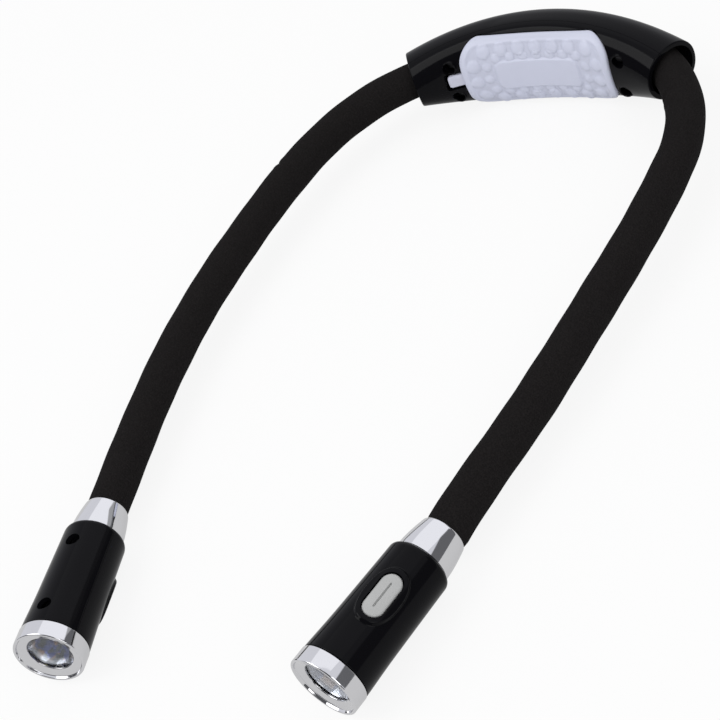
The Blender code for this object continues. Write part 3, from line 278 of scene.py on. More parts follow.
def smooth_step(value: Grid) -> Grid:
    """Rises from 0 to 1 as 3v^2 - 2v^3, and is level outside."""
    share = np.clip(value, 0, 1)
    return share * share * (3 - 2 * share)


def rim_round(depth: Grid, rounding: float) -> Grid:
    """Height of a rounded rim over its foot: a quarter circle, sqrt(r^2 - (r - d)^2), level further in."""
    return np.sqrt(np.clip(rounding**2 - np.clip(rounding - depth, 0, rounding) ** 2, 0, None))


def rim_offsets(rounding: float) -> tuple[Grid, Grid]:
    """Five distances in from a rounded rim, and the fall of its quarter circle at each."""
    distance = rounding * np.array(RIM_SHARES)
    return distance, rim_round(distance, rounding) - rounding


def circle(radius: float, count: int) -> Grid:
    """Points at equal steps round a circle about the origin."""
    angle = np.linspace(0, 2 * math.pi, count, endpoint=False)
    return radius * np.stack([np.cos(angle), np.sin(angle)], axis=-1)


def along_line(at: Grid | float, run: Grid, line: Grid) -> Grid:
    """Points at these distances along a line, straight between its own points."""
    return np.stack([np.interp(at, run, line[:, axis]) for axis in range(3)], axis=-1)


def rounded_rectangle(width: float, height: float, corner: float, count: int) -> Grid:
    """Points at equal steps along a rectangle with circular corners, about the origin.

    Args:
        width: Its size along the first axis.
        height: Its size along the second.
        corner: Radius of its corners.
        count: Number of points.

    Returns:
        The points, one row each.
    """
    fine = 160
    angle = np.linspace(0, 2 * math.pi, fine, endpoint=False) + math.pi / fine
    half_width, half_height = width / 2 - corner, height / 2 - corner
    centre = np.stack([np.sign(np.cos(angle)) * half_width, np.sign(np.sin(angle)) * half_height])
    outline = centre + corner * np.stack([np.cos(angle), np.sin(angle)])
    closed = np.concatenate([outline, outline[:, :1]], axis=1)
    run = np.concatenate([[0], np.cumsum(np.hypot(*np.diff(closed)))])
    at = np.linspace(0, run[-1], count, endpoint=False)
    return np.stack([np.interp(at, run, closed[0]), np.interp(at, run, closed[1])], axis=-1)


def inset_depth(x: Grid, z: Grid, width: float, height: float, corner: float) -> Grid:
    """Distance inward from a rounded rectangle's outline: corner radius less the distance to its core.

    Args:
        x: Places along the first axis.
        z: Places along the second.
        width: The rectangle's size along the first axis.
        height: Its size along the second.
        corner: Radius of its corners.

    Returns:
        A distance for each place, below nought outside.
    """
    across = np.abs(x) - (width / 2 - corner)
    up = np.abs(z) - (height / 2 - corner)
    past = np.hypot(np.maximum(across, 0), np.maximum(up, 0))
    return corner - past - np.minimum(np.maximum(across, up), 0)


def prism(outline: Grid, frame: Grid, low: float, high: float) -> Solid:
    """An outline carried straight, with caps that meet in the middle.

    Args:
        outline: Points in the frame's XY plane.
        frame: The 4 x 4 frame.
        low: Place of one cap along the frame's Z.
        high: Place of the other.

    Returns:
        The solid.
    """
    middle = outline.mean(axis=0)
    rows = [(middle, low), (outline, low), (outline, high), (middle, high)]
    grid = [np.column_stack([np.broadcast_to(xy, outline.shape), np.full(len(outline), z)]) for xy, z in rows]
    rings = np.stack(grid)
    solid = Solid(rings.reshape(-1, 3), quads(len(rows), len(outline), False, True))
    return solid.placed(frame)


def bore_lining(
    radii: tuple[float, float], wall: float, levels: tuple[float, float, float], sides: int
) -> Solid:
    """The lining of a stepped screw bore, about Z.

    Args:
        radii: Radius of the wide part, and of the narrow part behind the seat.
        wall: Thickness of the lining.
        levels: Heights of the mouth, of the seat and of the end behind it.
        sides: Number of steps round the bore.

    Returns:
        The solid.
    """
    mouth, seat, end = levels
    hole, shank = radii
    outer = hole + wall
    section = [(hole, mouth), (hole, seat), (shank, seat), (shank, end), (outer, end), (outer, mouth)]
    return lathe(np.array(section), sides)


def read(items: bpy.types.bpy_prop_collection, name: str, width: int = 1, kind: type = np.float32) -> Grid:
    """One property of every item.

    Args:
        items: Points, corners or faces of a mesh.
        name: The property.
        width: How many numbers it has.
        kind: Their type.

    Returns:
        A number per item, or a row of them.
    """
    values = np.zeros(len(items) * width, kind)
    items.foreach_get(name, values)
    return values.reshape(-1, width) if width > 1 else values


def mesh_points(item: bpy.types.Object) -> Grid:
    """Places of a mesh's points."""
    return read(item.data.vertices, "co", 3).astype(float)


def store_rise(item: bpy.types.Object, values: Grid) -> None:
    """Keeps one number per point on the mesh, as "rise"."""
    attribute = item.data.attributes.new("rise", "FLOAT", "POINT")
    attribute.data.foreach_set("value", np.asarray(values, np.float32))


def unit_slope(field: Field, points: Grid) -> Grid:
    """Direction in which a field grows fastest: its change over a short step on each axis, at unit length.

    Args:
        field: The field.
        points: Where it is asked.

    Returns:
        A direction for each point.
    """
    change = [field(points + step) - field(points - step) for step in np.eye(3) * NORMAL_STEP]
    slope = np.stack(change, axis=-1)
    return slope / np.maximum(np.linalg.norm(slope, axis=-1, keepdims=True), TINY)


def carve(item: bpy.types.Object, cutters: list[Solid]) -> None:
    """Takes the cutters out of a piece and bakes the result into its mesh.

    Args:
        item: The piece.
        cutters: Solids that reach through its wall.
    """
    tools = [cutter.piece("cutter") for cutter in cutters]
    for tool in tools:
        modifier = item.modifiers.new("carve", "BOOLEAN")
        modifier.operation = "DIFFERENCE"
        modifier.solver = "EXACT"
        modifier.object = tool
    depsgraph = bpy.context.evaluated_depsgraph_get()
    mesh = bpy.data.meshes.new_from_object(item.evaluated_get(depsgraph))
    item.modifiers.clear()
    item.data = mesh
    for tool in tools:
        bpy.data.objects.remove(tool)
    mesh.materials.clear()
    mesh.shade_smooth()
    mesh.set_sharp_from_angle(angle=math.radians(CUT_CREASE))


def polish(item: bpy.types.Object, field: Field) -> None:
    """Gives the corners on a known surface that surface's own normal, so cuts leave no mark in the gloss.

    Args:
        item: The piece, already cut.
        field: Function of points that is zero on the surface and grows outwards, in metres.
    """
    mesh = item.data
    points = mesh_points(item)
    corner = read(mesh.loops, "vertex_index", kind=np.int32)
    corners = read(mesh.polygons, "loop_total", kind=np.int32)
    facing = np.repeat(read(mesh.polygons, "normal", 3), corners, axis=0)
    normals = read(mesh.corner_normals, "vector", 3)
    own = unit_slope(field, points)[corner]
    skin = np.abs(field(points)) < SKIN_DEPTH
    chosen = skin[corner] & ((own * facing).sum(axis=1) > SKIN_AGREEMENT)
    normals[chosen] = own[chosen]
    mesh.normals_split_custom_set(normals.tolist())


# Shader maths


class Wire:
    """One output of a shader node; arithmetic on it adds Math nodes."""

    def __init__(self, shade: Shade, socket: bpy.types.NodeSocket) -> None:
        """Keeps the socket with the material that it belongs to."""
        self.shade = shade
        self.socket = socket

    def maths(self, operation: str, first: Wire | float, second: Wire | float) -> Wire:
        """A Math node on two values."""
        return self.shade.node("ShaderNodeMath", {"operation": operation}, {0: first, 1: second})

    def __add__(self, other: Wire | float) -> Wire:
        """This value plus another."""
        return self.maths("ADD", self, other)

    def __radd__(self, other: float) -> Wire:
        """A number plus this value."""
        return self.maths("ADD", other, self)

    def __sub__(self, other: Wire | float) -> Wire:
        """This value less another."""
        return self.maths("SUBTRACT", self, other)

    def __rsub__(self, other: float) -> Wire:
        """A number less this value."""
        return self.maths("SUBTRACT", other, self)

    def __mul__(self, other: Wire | float) -> Wire:
        """This value times another."""
        return self.maths("MULTIPLY", self, other)

    def __rmul__(self, other: float) -> Wire:
        """A number times this value."""
        return self.maths("MULTIPLY", other, self)


class Shade:
    """A material or world under construction, by its node tree."""

    def __init__(self, tree: bpy.types.NodeTree) -> None:
        """Empties the tree and keeps it."""
        self.tree = tree
        tree.nodes.clear()

    def node(
        self, kind: str, settings: dict | None = None, inputs: dict | None = None, output: str | int = 0
    ) -> Wire:
        """Adds any node.

        Args:
            kind: The node's type.
            settings: Its own settings, set first.
            inputs: Values or wires, by the name or number of the socket.
            output: Name or number of the output that is returned.

        Returns:
            The chosen output.
        """
        made = self.tree.nodes.new(kind)
        for name, value in (settings or {}).items():
            setattr(made, name, value)
        for name, value in (inputs or {}).items():
            if isinstance(value, Wire):
                self.tree.links.new(value.socket, made.inputs[name])
            else:
                made.inputs[name].default_value = value
        return Wire(self, made.outputs[output])

    def place(self) -> Wire:
        """Places on the object, in metres."""
        return self.node("ShaderNodeTexCoord", output="Object")

    def rise(self) -> Wire:
        """The number that the mesh keeps at each point as "rise"."""
        return self.node("ShaderNodeAttribute", {"attribute_name": "rise"}, {}, "Fac")

    def clamp(self, value: Wire) -> Wire:
        """The value, held between 0 and 1."""
        return self.node("ShaderNodeClamp", {}, {"Value": value})

    def rays(self) -> tuple[Wire, Wire]:
        """Two switches: 1 on rays from the camera or through the lens, and 1 on rays from a gloss.

        Returns:
            Both switches.
        """
        outputs = self.node("ShaderNodeLightPath").socket.node.outputs
        straight = Wire(self, outputs["Is Camera Ray"]) + Wire(self, outputs["Is Transmission Ray"])
        return straight, Wire(self, outputs["Is Glossy Ray"])

    def noise(self, size: float, detail: float = 2.0) -> Wire:
        """Soft noise from 0 to 1 whose features are about one size across."""
        inputs = {"Vector": self.place(), "Scale": 1 / size, "Detail": detail}
        return self.node("ShaderNodeTexNoise", {}, inputs, "Fac")

    def mix(self, share: Wire | float, first: Wire | tuple, second: Wire | tuple) -> Wire:
        """A colour between two.

        Args:
            share: 0 gives the first and 1 the second.
            first: One colour.
            second: The other.

        Returns:
            The colour.
        """
        inputs = {0: share, 6: first, 7: second}
        return self.node("ShaderNodeMix", {"data_type": "RGBA"}, inputs, 2)

    def ramp(self, share: Wire, low: float, high: float) -> Wire:
        """Rises smoothly from 0 at one value to 1 at another."""
        inputs = {"Value": share, "From Min": low, "From Max": high}
        return self.node("ShaderNodeMapRange", {"interpolation_type": "SMOOTHSTEP"}, inputs)

    def bump(self, height: Wire, depth: float) -> Wire:
        """A normal bent by a height from 0 to 1 that stands for a depth in metres."""
        return self.node("ShaderNodeBump", {}, {"Height": height, "Distance": depth, "Strength": 1.0}, "Normal")

    def surface(self, inputs: dict) -> None:
        """Ends a material in a Principled surface with these inputs."""
        body = self.node("ShaderNodeBsdfPrincipled", {}, inputs)
        self.node_output("ShaderNodeOutputMaterial", body)

    def node_output(self, kind: str, body: Wire) -> None:
        """Joins the last shader to an output node."""
        end = self.tree.nodes.new(kind)
        self.tree.links.new(body.socket, end.inputs["Surface"])


def opaque(colour: Colour, level: float = 1.0) -> tuple[float, float, float, float]:
    """A colour at a level of brightness, with full alpha."""
    return (colour[0] * level, colour[1] * level, colour[2] * level, 1.0)


@dataclass(frozen=True)
class Finish:
    """A finish with mottled colour, uneven gloss and a fine grain.

    Attributes:
        slot: The record's material slot.
        colour: Its own colour.
        roughness: Its mean roughness.
        metallic: 1 on bare metal.
        mottle: Share by which the colour varies.
        patch: Size of the mottling.
        unevenness: Share by which the roughness varies.
        grain: Size of the grain.
        relief: Depth of the grain.
        specular: Strength of the clear reflection.
    """

    slot: str
    colour: Colour
    roughness: float
    metallic: float = 0.0
    mottle: float = 0.08
    patch: float = 0.012
    unevenness: float = 0.15
    grain: float = 0.0006
    relief: float = 0.000002
    specular: float = 0.5

    def tint(self, shade: Shade) -> Wire:
        """Colour over the surface."""
        low, high = opaque(self.colour, 1 - self.mottle), opaque(self.colour, 1 + self.mottle)
        return shade.mix(shade.noise(self.patch, 3.0), low, high)

    def inputs(self, shade: Shade) -> dict:
        """Inputs of the Principled surface.

        Args:
            shade: The material under construction.

        Returns:
            Values and wires, by the name of the input.
        """
        spread = (shade.noise(self.patch * 0.6, 4.0) - 0.5) * (2 * self.unevenness * self.roughness)
        return {
            "Base Color": self.tint(shade),
            "Roughness": spread + self.roughness,
            "Metallic": self.metallic,
            "Specular IOR Level": self.specular,
            "Normal": shade.bump(shade.noise(self.grain, 3.0), self.relief),
        }

    def build(self) -> bpy.types.Material:
        """The finished material.

        Returns:
            The material.
        """
        material = bpy.data.materials.new(self.slot)
        material.use_nodes = True
        shade = Shade(material.node_tree)
        shade.surface(self.inputs(shade))
        return material


@dataclass(frozen=True)
class Pad(Finish):
    """Soft lavender rubber, with painted shade that greys it down between its bumps; the mesh holds the height
    as "rise".

    Attributes:
        valley_shade: Level of the colour at the bottom, darkened there as painted shade.
        crest: Height from which the painted shade ends and the colour is full.
        cloud: Level of the colour in the clouds over it.
    """

    valley_shade: float = 0.80
    crest: float = 0.6
    cloud: float = 0.7

    def tint(self, shade: Shade) -> Wire:
        """Colour that follows the height, with painted shade darker down between the bumps, and a faint cloud
        over it.

        Args:
            shade: The material under construction.

        Returns:
            The colour.
        """
        low, high = opaque(self.colour, self.valley_shade), opaque(self.colour)
        # painted shade: the colour darkens toward the foot of the bumps
        with_painted_shade = shade.mix(shade.ramp(shade.rise(), 0.0, self.crest), low, high)
        return shade.mix(shade.noise(self.patch, 3.0) * self.mottle, with_painted_shade, opaque(self.colour, self.cloud))


@dataclass(frozen=True)
class Foam(Finish):
    """Open-pored foam rubber: fine pits, darkened with painted shade, over a soft, slightly lumpy skin.

    Attributes:
        pit: Size of the pits.
        pit_edge: Values of the noise between which a pit's side rises.
        lump: Size of the lumps.
        relief_shares: Shares of the pits and of the lumps in the relief.
        levels: Level of the colour in the pits, where it is painted shade, and on the skin.
    """

    pit: float = 0.00045
    pit_edge: tuple[float, float] = (0.38, 0.62)
    lump: float = 0.004
    relief_shares: tuple[float, float] = (0.7, 0.6)
    levels: tuple[float, float] = (0.7, 1.15)

    def inputs(self, shade: Shade) -> dict:
        """Adds pits, with painted shade in them, to the common inputs.

        Args:
            shade: The material under construction.

        Returns:
            Values and wires, by the name of the input.
        """
        found = super().inputs(shade)
        pits = shade.ramp(shade.noise(self.pit, 4.0), *self.pit_edge)
        pit_share, lump_share = self.relief_shares
        found["Normal"] = shade.bump(pits * pit_share + shade.noise(self.lump) * lump_share, self.relief)
        # painted shade: the colour darkens where the pits sink
        found["Base Color"] = shade.mix(pits, *(opaque(self.colour, level) for level in self.levels))
        return found


@dataclass(frozen=True)
class Bowl(Finish):
    """Plated bowl with painted reflections of the diode's blue and amber light, and painted shadow, in its
    depth; the mesh holds depth as "rise".

    Attributes:
        cast: Size of the clouds of painted light; those of painted shadow are four fifths of it.
        painted_blue_reflection: Colour of the painted reflection of the diode's blue light.
        painted_amber_reflection: Colour of the painted reflection of its amber light.
        shadow: Colour of the painted shadow.
        warm_edge: Values of the noise between which the painted blue turns to painted amber.
        shadow_edge: Values of the noise between which the painted light turns to painted shadow.
        depth_edge: Depths between which silver turns to painted light and painted shadow.
    """

    cast: float = 0.0030
    painted_blue_reflection: Colour = (0.035, 0.045, 0.13)
    painted_amber_reflection: Colour = (0.17, 0.10, 0.07)
    shadow: Colour = (0.03, 0.035, 0.04)
    warm_edge: tuple[float, float] = (0.50, 0.58)
    shadow_edge: tuple[float, float] = (0.52, 0.60)
    depth_edge: tuple[float, float] = (0.10, 0.30)

    def tint(self, shade: Shade) -> Wire:
        """Silver at the rim, and clouds of painted blue and amber reflection and of painted shadow toward the
        middle.

        Args:
            shade: The material under construction.

        Returns:
            The colour.
        """
        # painted reflections of the diode's blue and amber light, and painted shadow, deep in the bowl
        amber = shade.ramp(shade.noise(self.cast, 1.0), *self.warm_edge)
        painted_shadow_share = shade.ramp(shade.noise(self.cast * 0.8, 1.0), *self.shadow_edge)
        with_painted_shade = shade.mix(painted_shadow_share, shade.mix(amber, opaque(self.painted_blue_reflection), opaque(self.painted_amber_reflection)), opaque(self.shadow))
        return shade.mix(shade.ramp(shade.rise(), *self.depth_edge), opaque(self.colour), with_painted_shade)


@dataclass(frozen=True)
class Clear(Finish):
    """Clear moulded lens."""

    index: float = 1.49

    def inputs(self, shade: Shade) -> dict:
        """Adds transmission to the common inputs.

        Args:
            shade: The material under construction.

        Returns:
            Values and wires, by the name of the input.
        """
        found = super().inputs(shade)
        found["Transmission Weight"] = 1.0
        found["IOR"] = self.index
        return found


@dataclass(frozen=True)
class Phosphor(Finish):
    """White diode: a disc of yellow phosphor under milky resin, about the head's axis."""

    resin: Colour = (0.45, 0.47, 0.50)
    disc_edge: tuple[float, float] = (0.45, 0.6)

    def tint(self, shade: Shade) -> Wire:
        """Yellow where the mesh's "rise" is high, milky grey around it."""
        return shade.mix(shade.ramp(shade.rise(), *self.disc_edge), opaque(self.resin), opaque(self.colour))


FINISHES = {
    "shell": Finish(
        "shell_black", (0.0035, 0.0034, 0.0044), 0.11, specular=0.09, grain=0.0012, relief=0.000001
    ),
    "door": Finish("door_white", (0.62, 0.63, 0.74), 0.30, relief=0.000002),
    # the pad's colour carries painted shade between its bumps
    "pad": Pad("pad_lavender", (0.66, 0.685, 0.82), 0.42, mottle=0.12, grain=0.0004, relief=0.000006),
    # the foam's colour carries painted shade in its pits
    "foam": Foam("foam_black", (0.0125, 0.0112, 0.0112), 0.88, relief=0.00006, specular=0.05),
    "chrome": Finish("chrome", (0.80, 0.80, 0.82), 0.07, 1.0, mottle=0.02, grain=0.002, relief=0.000001),
    # the bowl's colour carries painted reflections and painted shadow
    "bowl": Bowl("chrome", (0.50, 0.50, 0.54), 0.12, 1.0, mottle=0.02, grain=0.002, relief=0.000001),
    "lens": Clear("lens_clear", (0.95, 0.98, 1.0), 0.02, mottle=0.01, relief=0.0000005),
    "led": Phosphor("led_resin", (0.80, 0.68, 0.25), 0.15),
    "button": Finish("button_grey", (0.43, 0.435, 0.43), 0.42, grain=0.0003, relief=0.000008),
    # the screws' near-black steel is painted shade, so that the screw bores read black
    "screw": Finish("screw_steel", (0.06, 0.06, 0.064), 0.38, 1.0, relief=0.000004),
    "brass": Finish("contact_brass", (0.62, 0.52, 0.30), 0.28, 1.0),
    "cell": Finish("cell_jacket", (0.16, 0.17, 0.20), 0.35, 0.3),
    "core": Finish("core_metal", (0.40, 0.40, 0.41), 0.38, 1.0, relief=0.000006),
    "board": Finish("board", (0.42, 0.47, 0.43), 0.55, relief=0.000004),
}

# Finish of the nodes that stay in view, by a part of their names
CAD_FINISHES = {
    "battery_cell_": "cell",
    "_contact": "brass",
    "housing_screw_": "screw",
    "_head_screw_": "screw",
    "_arm_core_": "core",
    "_led_board": "board",
    "_switch": "board",
}


class Wardrobe:
    """Dresses pieces: builds each finish once and ties a piece to its body, slot and nodes."""

    def __init__(self, nodes: dict[str, bpy.types.Object]) -> None:
        """Builds the materials.

        Args:
            nodes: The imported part's node objects.
        """
        self.nodes = nodes
        self.materials = {name: finish.build() for name, finish in FINISHES.items()}

    def dress(
        self, item: bpy.types.Object, finish: str, body: str | None, replaced: list[str]
    ) -> bpy.types.Object:
        """Finishes one piece.

        Args:
            item: The piece.
            finish: Name of its finish.
            body: The body it rides on, or None where it rides on none.
            replaced: Nodes that it stands for.

        Returns:
            The piece.
        """
        item.data.materials.clear()
        item.data.materials.append(self.materials[finish])
        if body:
            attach(item, body)
        if replaced:
            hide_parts(*replaced)
        LOG.info("%s: %d faces, %s", item.name, len(item.data.polygons), finish)
        return item

    def dress_nodes(self) -> None:
        """Gives the nodes that stay in view their finishes."""
        for name, node in self.nodes.items():
            for part, finish in CAD_FINISHES.items():
                if part in name:
                    for slot in node.material_slots:
                        slot.material = self.materials[finish]


# Housing


@dataclass(frozen=True)
class Arch:
    """The housing's arch: a superellipse swept along an arc of a circle, changing from mouth to middle.

    Attributes:
        radius: Radius of the arc.
        half_angle: Half of the arc's angle.
        centre_height: Height of the section's middle over the table.
        setback: How far the arc's top lies behind the origin.
        middle_shift: Radial shift of the section at the middle.
        mouth_squareness: The superellipse's power at the mouths; 2 is an ellipse.
        clear_of_arch: A place along Y that lies clear of the arch on its neck side.
        halvings: Halving steps by which the skin is found.
    """

    radius: float = 0.1136
    half_angle: float = math.radians(30)
    centre_height: float = 0.01825
    setback: float = 0.0025
    mouth_height: float = 0.022
    middle_height: float = 0.037
    mouth_depth: float = 0.025
    middle_depth: float = 0.023
    middle_shift: float = -0.0005
    mouth_squareness: float = 2.1
    middle_squareness: float = 2.7
    clear_of_arch: float = -0.06
    halvings: int = 36

    def section(self, t: Grid) -> tuple[Grid, Grid, Grid, Grid]:
        """The section at places along the arch: each measure goes from mouth to middle as 1 - t^2.

        Args:
            t: Shares of the half angle, from -1 at one mouth to 1 at the other.

        Returns:
            Half height, half depth, squareness and radial shift.
        """
        swell = 1 - t * t
        height = (self.mouth_height + (self.middle_height - self.mouth_height) * swell) / 2
        depth = (self.mouth_depth + (self.middle_depth - self.mouth_depth) * swell) / 2
        square = self.mouth_squareness + (self.middle_squareness - self.mouth_squareness) * swell
        return height, depth, square, self.middle_shift * swell

    def outline(self, t: Grid, angle: Grid, offset: Grid) -> Grid:
        """Points of the skin: |cos a|^(2/n) and |sin a|^(2/n) scale the half sizes; the arch turns the section.

        Args:
            t: Shares of the half angle.
            angle: Angles round the section, from outward by way of up.
            offset: Heights over the skin.

        Returns:
            The points.
        """
        height, depth, square, shift = self.section(t)
        across = np.sign(np.cos(angle)) * np.abs(np.cos(angle)) ** (2 / square)
        up = np.sign(np.sin(angle)) * np.abs(np.sin(angle)) ** (2 / square)
        reach = self.radius + across * (depth + offset) + shift
        turn = self.half_angle * t
        z = np.maximum(self.centre_height + up * (height + offset), 0)
        return np.stack([reach * np.sin(turn), reach * np.cos(turn) - self.radius + self.setback, z], axis=-1)

    def field(self, points: Grid) -> Grid:
        """Signed height over the skin: the superellipse's own measure less one, times its half depth.

        Args:
            points: The points.

        Returns:
            A height for each, below nought inside.
        """
        x, y = points[..., 0], points[..., 1] + self.radius - self.setback
        z = points[..., 2] - self.centre_height
        t = np.arctan2(x, y) / self.half_angle
        height, depth, square, shift = self.section(t)
        across = np.abs((np.hypot(x, y) - self.radius - shift) / depth)
        measure = across**square + np.abs(z / height) ** square
        return (measure ** (1 / square) - 1) * depth

    def neck_face(self, x: Grid, z: Grid, lift: Grid | float) -> Grid:
        """Points over the neck side seen along Y: halving steps find the skin, and its normal lifts them.

        Args:
            x: Places along the arch.
            z: Places above the centre height.
            lift: Heights over the skin.

        Returns:
            The points.
        """
        outside = np.full(x.shape, self.clear_of_arch)
        inside = np.sqrt(self.radius**2 - x**2) - self.radius + self.setback
        for _ in range(self.halvings):
            middle = (outside + inside) / 2
            within = self.field(np.stack([x, middle, z + self.centre_height], axis=-1)) < 0
            inside = np.where(within, middle, inside)
            outside = np.where(within, outside, middle)
        skin = np.stack([x, inside, z + self.centre_height], axis=-1)
        return skin + unit_slope(self.field, skin) * np.asarray(lift)[..., None]


@dataclass(frozen=True)
class Housing:
    """The battery housing: two half shells, the door and the bumped neck pad.

    Attributes:
        arch: The skin that every piece follows.
        seam: Radial place of the seam between the halves.
        rim: Rounding of the wall at the mouths.
        door_gap: Gap round the door.
        door_under: Depth of the door's face under the skin, where the pad covers it.
        tab_room: Room round the latch tab in its recess.
        tab_grip: Height of the ribs on the latch tab, and how fast they follow each other.
        tab_faces: Heights of the tab's upper and lower face over the skin.
        band_ridge: Height and width of the fine ridge inside the pad's band.
        band_drop: Drop from the band to the pad's bed, and the width of its slope.
        dome_power: 0.5 makes the bumps half spheres, and more makes them flatter at the foot.
        dome_top: Height over the skin that counts as 1 in the pad's painted shade.
        panel: Width, height and corner of the raised panel.
        panel_share: Share of the panel's slope that lies outside its outline.
        panel_foot: Distance outside the outline at which the panel starts.
        bump_rings: Width, height and corner of each ring, then size, rise and number of its bumps.
    """

    arch: Arch = Arch()
    wall: float = 0.0018
    seam: float = -0.0035
    seam_gap: float = 0.00003
    seam_edge: float = 0.00008
    rim: float = 0.0005
    stations: int = 130
    around: int = 74
    fine_steps: int = 900
    door_width: float = 0.065
    door_height: float = 0.0326
    door_corner: float = 0.0088
    door_lift: float = -0.0002
    door_gap: float = 0.0003
    tab_width: float = 0.0055
    tab_length: float = 0.006
    tab_rise: float = 0.001
    tab_room: float = 0.0012
    tab_root: float = 0.003
    tab_corner: float = 0.0012
    tab_rounding: float = 0.0008
    tab_grip: tuple[float, float] = (0.00012, 2200)
    tab_faces: tuple[float, float] = (-0.0005, -0.0017)
    door_under: float = 0.00002
    door_rounding: float = 0.0003
    cut_start: float = -0.04
    opening_floor: float = -0.0052
    recess_floor: float = -0.012
    recess_corner: float = 0.001
    screw_hole: float = 0.0025
    bore_wall: float = 0.0006
    bore_lip: float = 0.0003
    bore_seat: float = 0.0015
    bore_cut: float = 0.0014
    bore_sides: int = 48
    bore_start: float = -0.008
    shank_hole: float = 0.0012
    pad_thickness: float = 0.0012
    pad_under: float = 0.00004
    pad_rounding: float = 0.0011
    pad_band: float = 0.0024
    band_ridge: tuple[float, float] = (0.00022, 0.0006)
    band_drop: tuple[float, float] = (0.0002, 0.001)
    dome_power: float = 0.6
    dome_top: float = 0.0024
    panel: tuple[float, float, float] = (0.0372, 0.0138, 0.0035)
    panel_rise: float = 0.0006
    panel_slope: float = 0.0009
    panel_share: float = 0.2
    panel_foot: float = 0.0002
    bump_rings: tuple[tuple[float, ...], ...] = (
        (0.0540, 0.0230, 0.0066, 0.0057, 0.0009, 19),
        (0.0436, 0.0164, 0.0045, 0.0042, 0.0006, 19),
    )

    def half_shell(self, rear: bool) -> Solid:
        """One half of the wall: rows from mouth to mouth, columns at even steps from seam to seam.

        Args:
            rear: Whether it is the half away from the neck.

        Returns:
            The solid.
        """
        arch = self.arch
        near, fall = rim_offsets(self.rim)
        edge_near, edge_fall = rim_offsets(self.seam_edge)
        length = arch.half_angle * arch.radius
        middle = np.linspace(-1, 1, self.stations)[1:-1] * (1 - 2 * self.rim / length)
        t = np.concatenate([near / length - 1, middle, 1 - near[::-1] / length])
        row_fall = np.concatenate([fall, np.zeros(len(middle)), fall[::-1]])
        height, depth, square, shift = arch.section(t)
        seam = self.seam + (self.seam_gap if rear else -self.seam_gap)
        share = (seam - shift) / depth
        edge = np.arccos(np.sign(share) * np.abs(share) ** (square / 2))
        start, end = (-edge, edge) if rear else (edge, 2 * math.pi - edge)
        steps = np.linspace(0, 1, self.fine_steps)
        fine = start[:, None] + (end - start)[:, None] * steps
        skin = arch.outline(t[:, None], fine, 0.0)
        run = np.cumsum(np.linalg.norm(np.diff(skin, axis=1), axis=2), axis=1)
        run = np.concatenate([np.zeros((len(t), 1)), run], axis=1)
        inner = np.linspace(0, 1, self.around)[1:-1]
        angles = []
        for row in range(len(t)):
            total = run[row, -1]
            span = self.seam_edge + (total - 2 * self.seam_edge) * inner
            at = np.concatenate([edge_near, span, total - edge_near[::-1]])
            angles.append(np.interp(at, run[row], fine[row]))
        column_fall = np.concatenate([edge_fall, np.zeros(len(inner)), edge_fall[::-1]])
        offset = np.maximum(row_fall[:, None] + column_fall[None, :], -self.wall / 2)
        angle = np.stack(angles)
        outer = arch.outline(t[:, None], angle, offset)
        return Solid.sheet(outer, arch.outline(t[:, None], angle, -self.wall))

    def flat_frame(self, x: float, z: float) -> Grid:
        """Frame on the neck side whose Z looks along +Y and whose X keeps the world's."""
        origin = np.array([x, self.arch.setback, self.arch.centre_height + z])
        return frame_of(origin, np.array([0, 1, 0]), np.array([1, 0, 0]))

    def cup(self, screw: str) -> tuple[Solid, Solid]:
        """The bore to cut for a screw and the lining that shows in it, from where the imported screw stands.

        Args:
            screw: The screw's node.

        Returns:
            The cutter and the lining.
        """
        low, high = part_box(screw)
        x, z, face = (low.x + high.x) / 2, (low.z + high.z) / 2, low.y
        frame = frame_of(np.array([x, face, z]), np.array([0, 1, 0]), np.array([1, 0, 0]))
        skin = self.arch.neck_face(np.array([x]), np.array([z - self.arch.centre_height]), 0.0)[0, 1]
        levels = (skin - face + self.bore_lip, self.bore_seat, high.y - low.y)
        radii = (self.screw_hole, self.shank_hole)
        lining = bore_lining(radii, self.bore_wall, levels, self.bore_sides)
        cutter = prism(circle(self.screw_hole, self.bore_sides), frame, self.bore_start, self.bore_cut)
        return cutter, lining.placed(frame)

    def shell_pieces(self, wardrobe: Wardrobe) -> None:
        """Both half shells, the neck-side one with its door opening, latch recess and screw bores.

        Args:
            wardrobe: Dresses the pieces.
        """
        rear = self.half_shell(True).piece("housing_back")
        polish(rear, self.arch.field)
        wardrobe.dress(rear, "shell", "housing", ["housing_rear_shell"])
        cups = [self.cup(f"housing_screw_{number}") for number in range(1, 5)]
        front = self.half_shell(False)
        gap = self.door_gap
        opening = rounded_rectangle(
            self.door_width + 2 * gap, self.door_height + 2 * gap, self.door_corner + gap, 160
        )
        recess_width = self.tab_width + 2 * self.tab_room
        recess = rounded_rectangle(self.tab_length * 2, recess_width, self.recess_corner, 64)
        recess_x = -self.door_width / 2 - self.tab_room
        item = front.piece("housing_front")
        cutters = [
            prism(opening, self.flat_frame(0, self.door_lift), self.cut_start, self.opening_floor),
            prism(recess, self.flat_frame(recess_x, self.tab_rise), self.cut_start, self.recess_floor),
        ]
        carve(item, cutters + [cutter for cutter, _ in cups])
        for index, (_, lining) in enumerate(cups, start=1):
            wardrobe.dress(lining.piece(f"screw_bore_{index}"), "shell", "housing", [])
        polish(item, self.arch.field)
        wardrobe.dress(item, "shell", "housing", ["housing_inner_shell"])

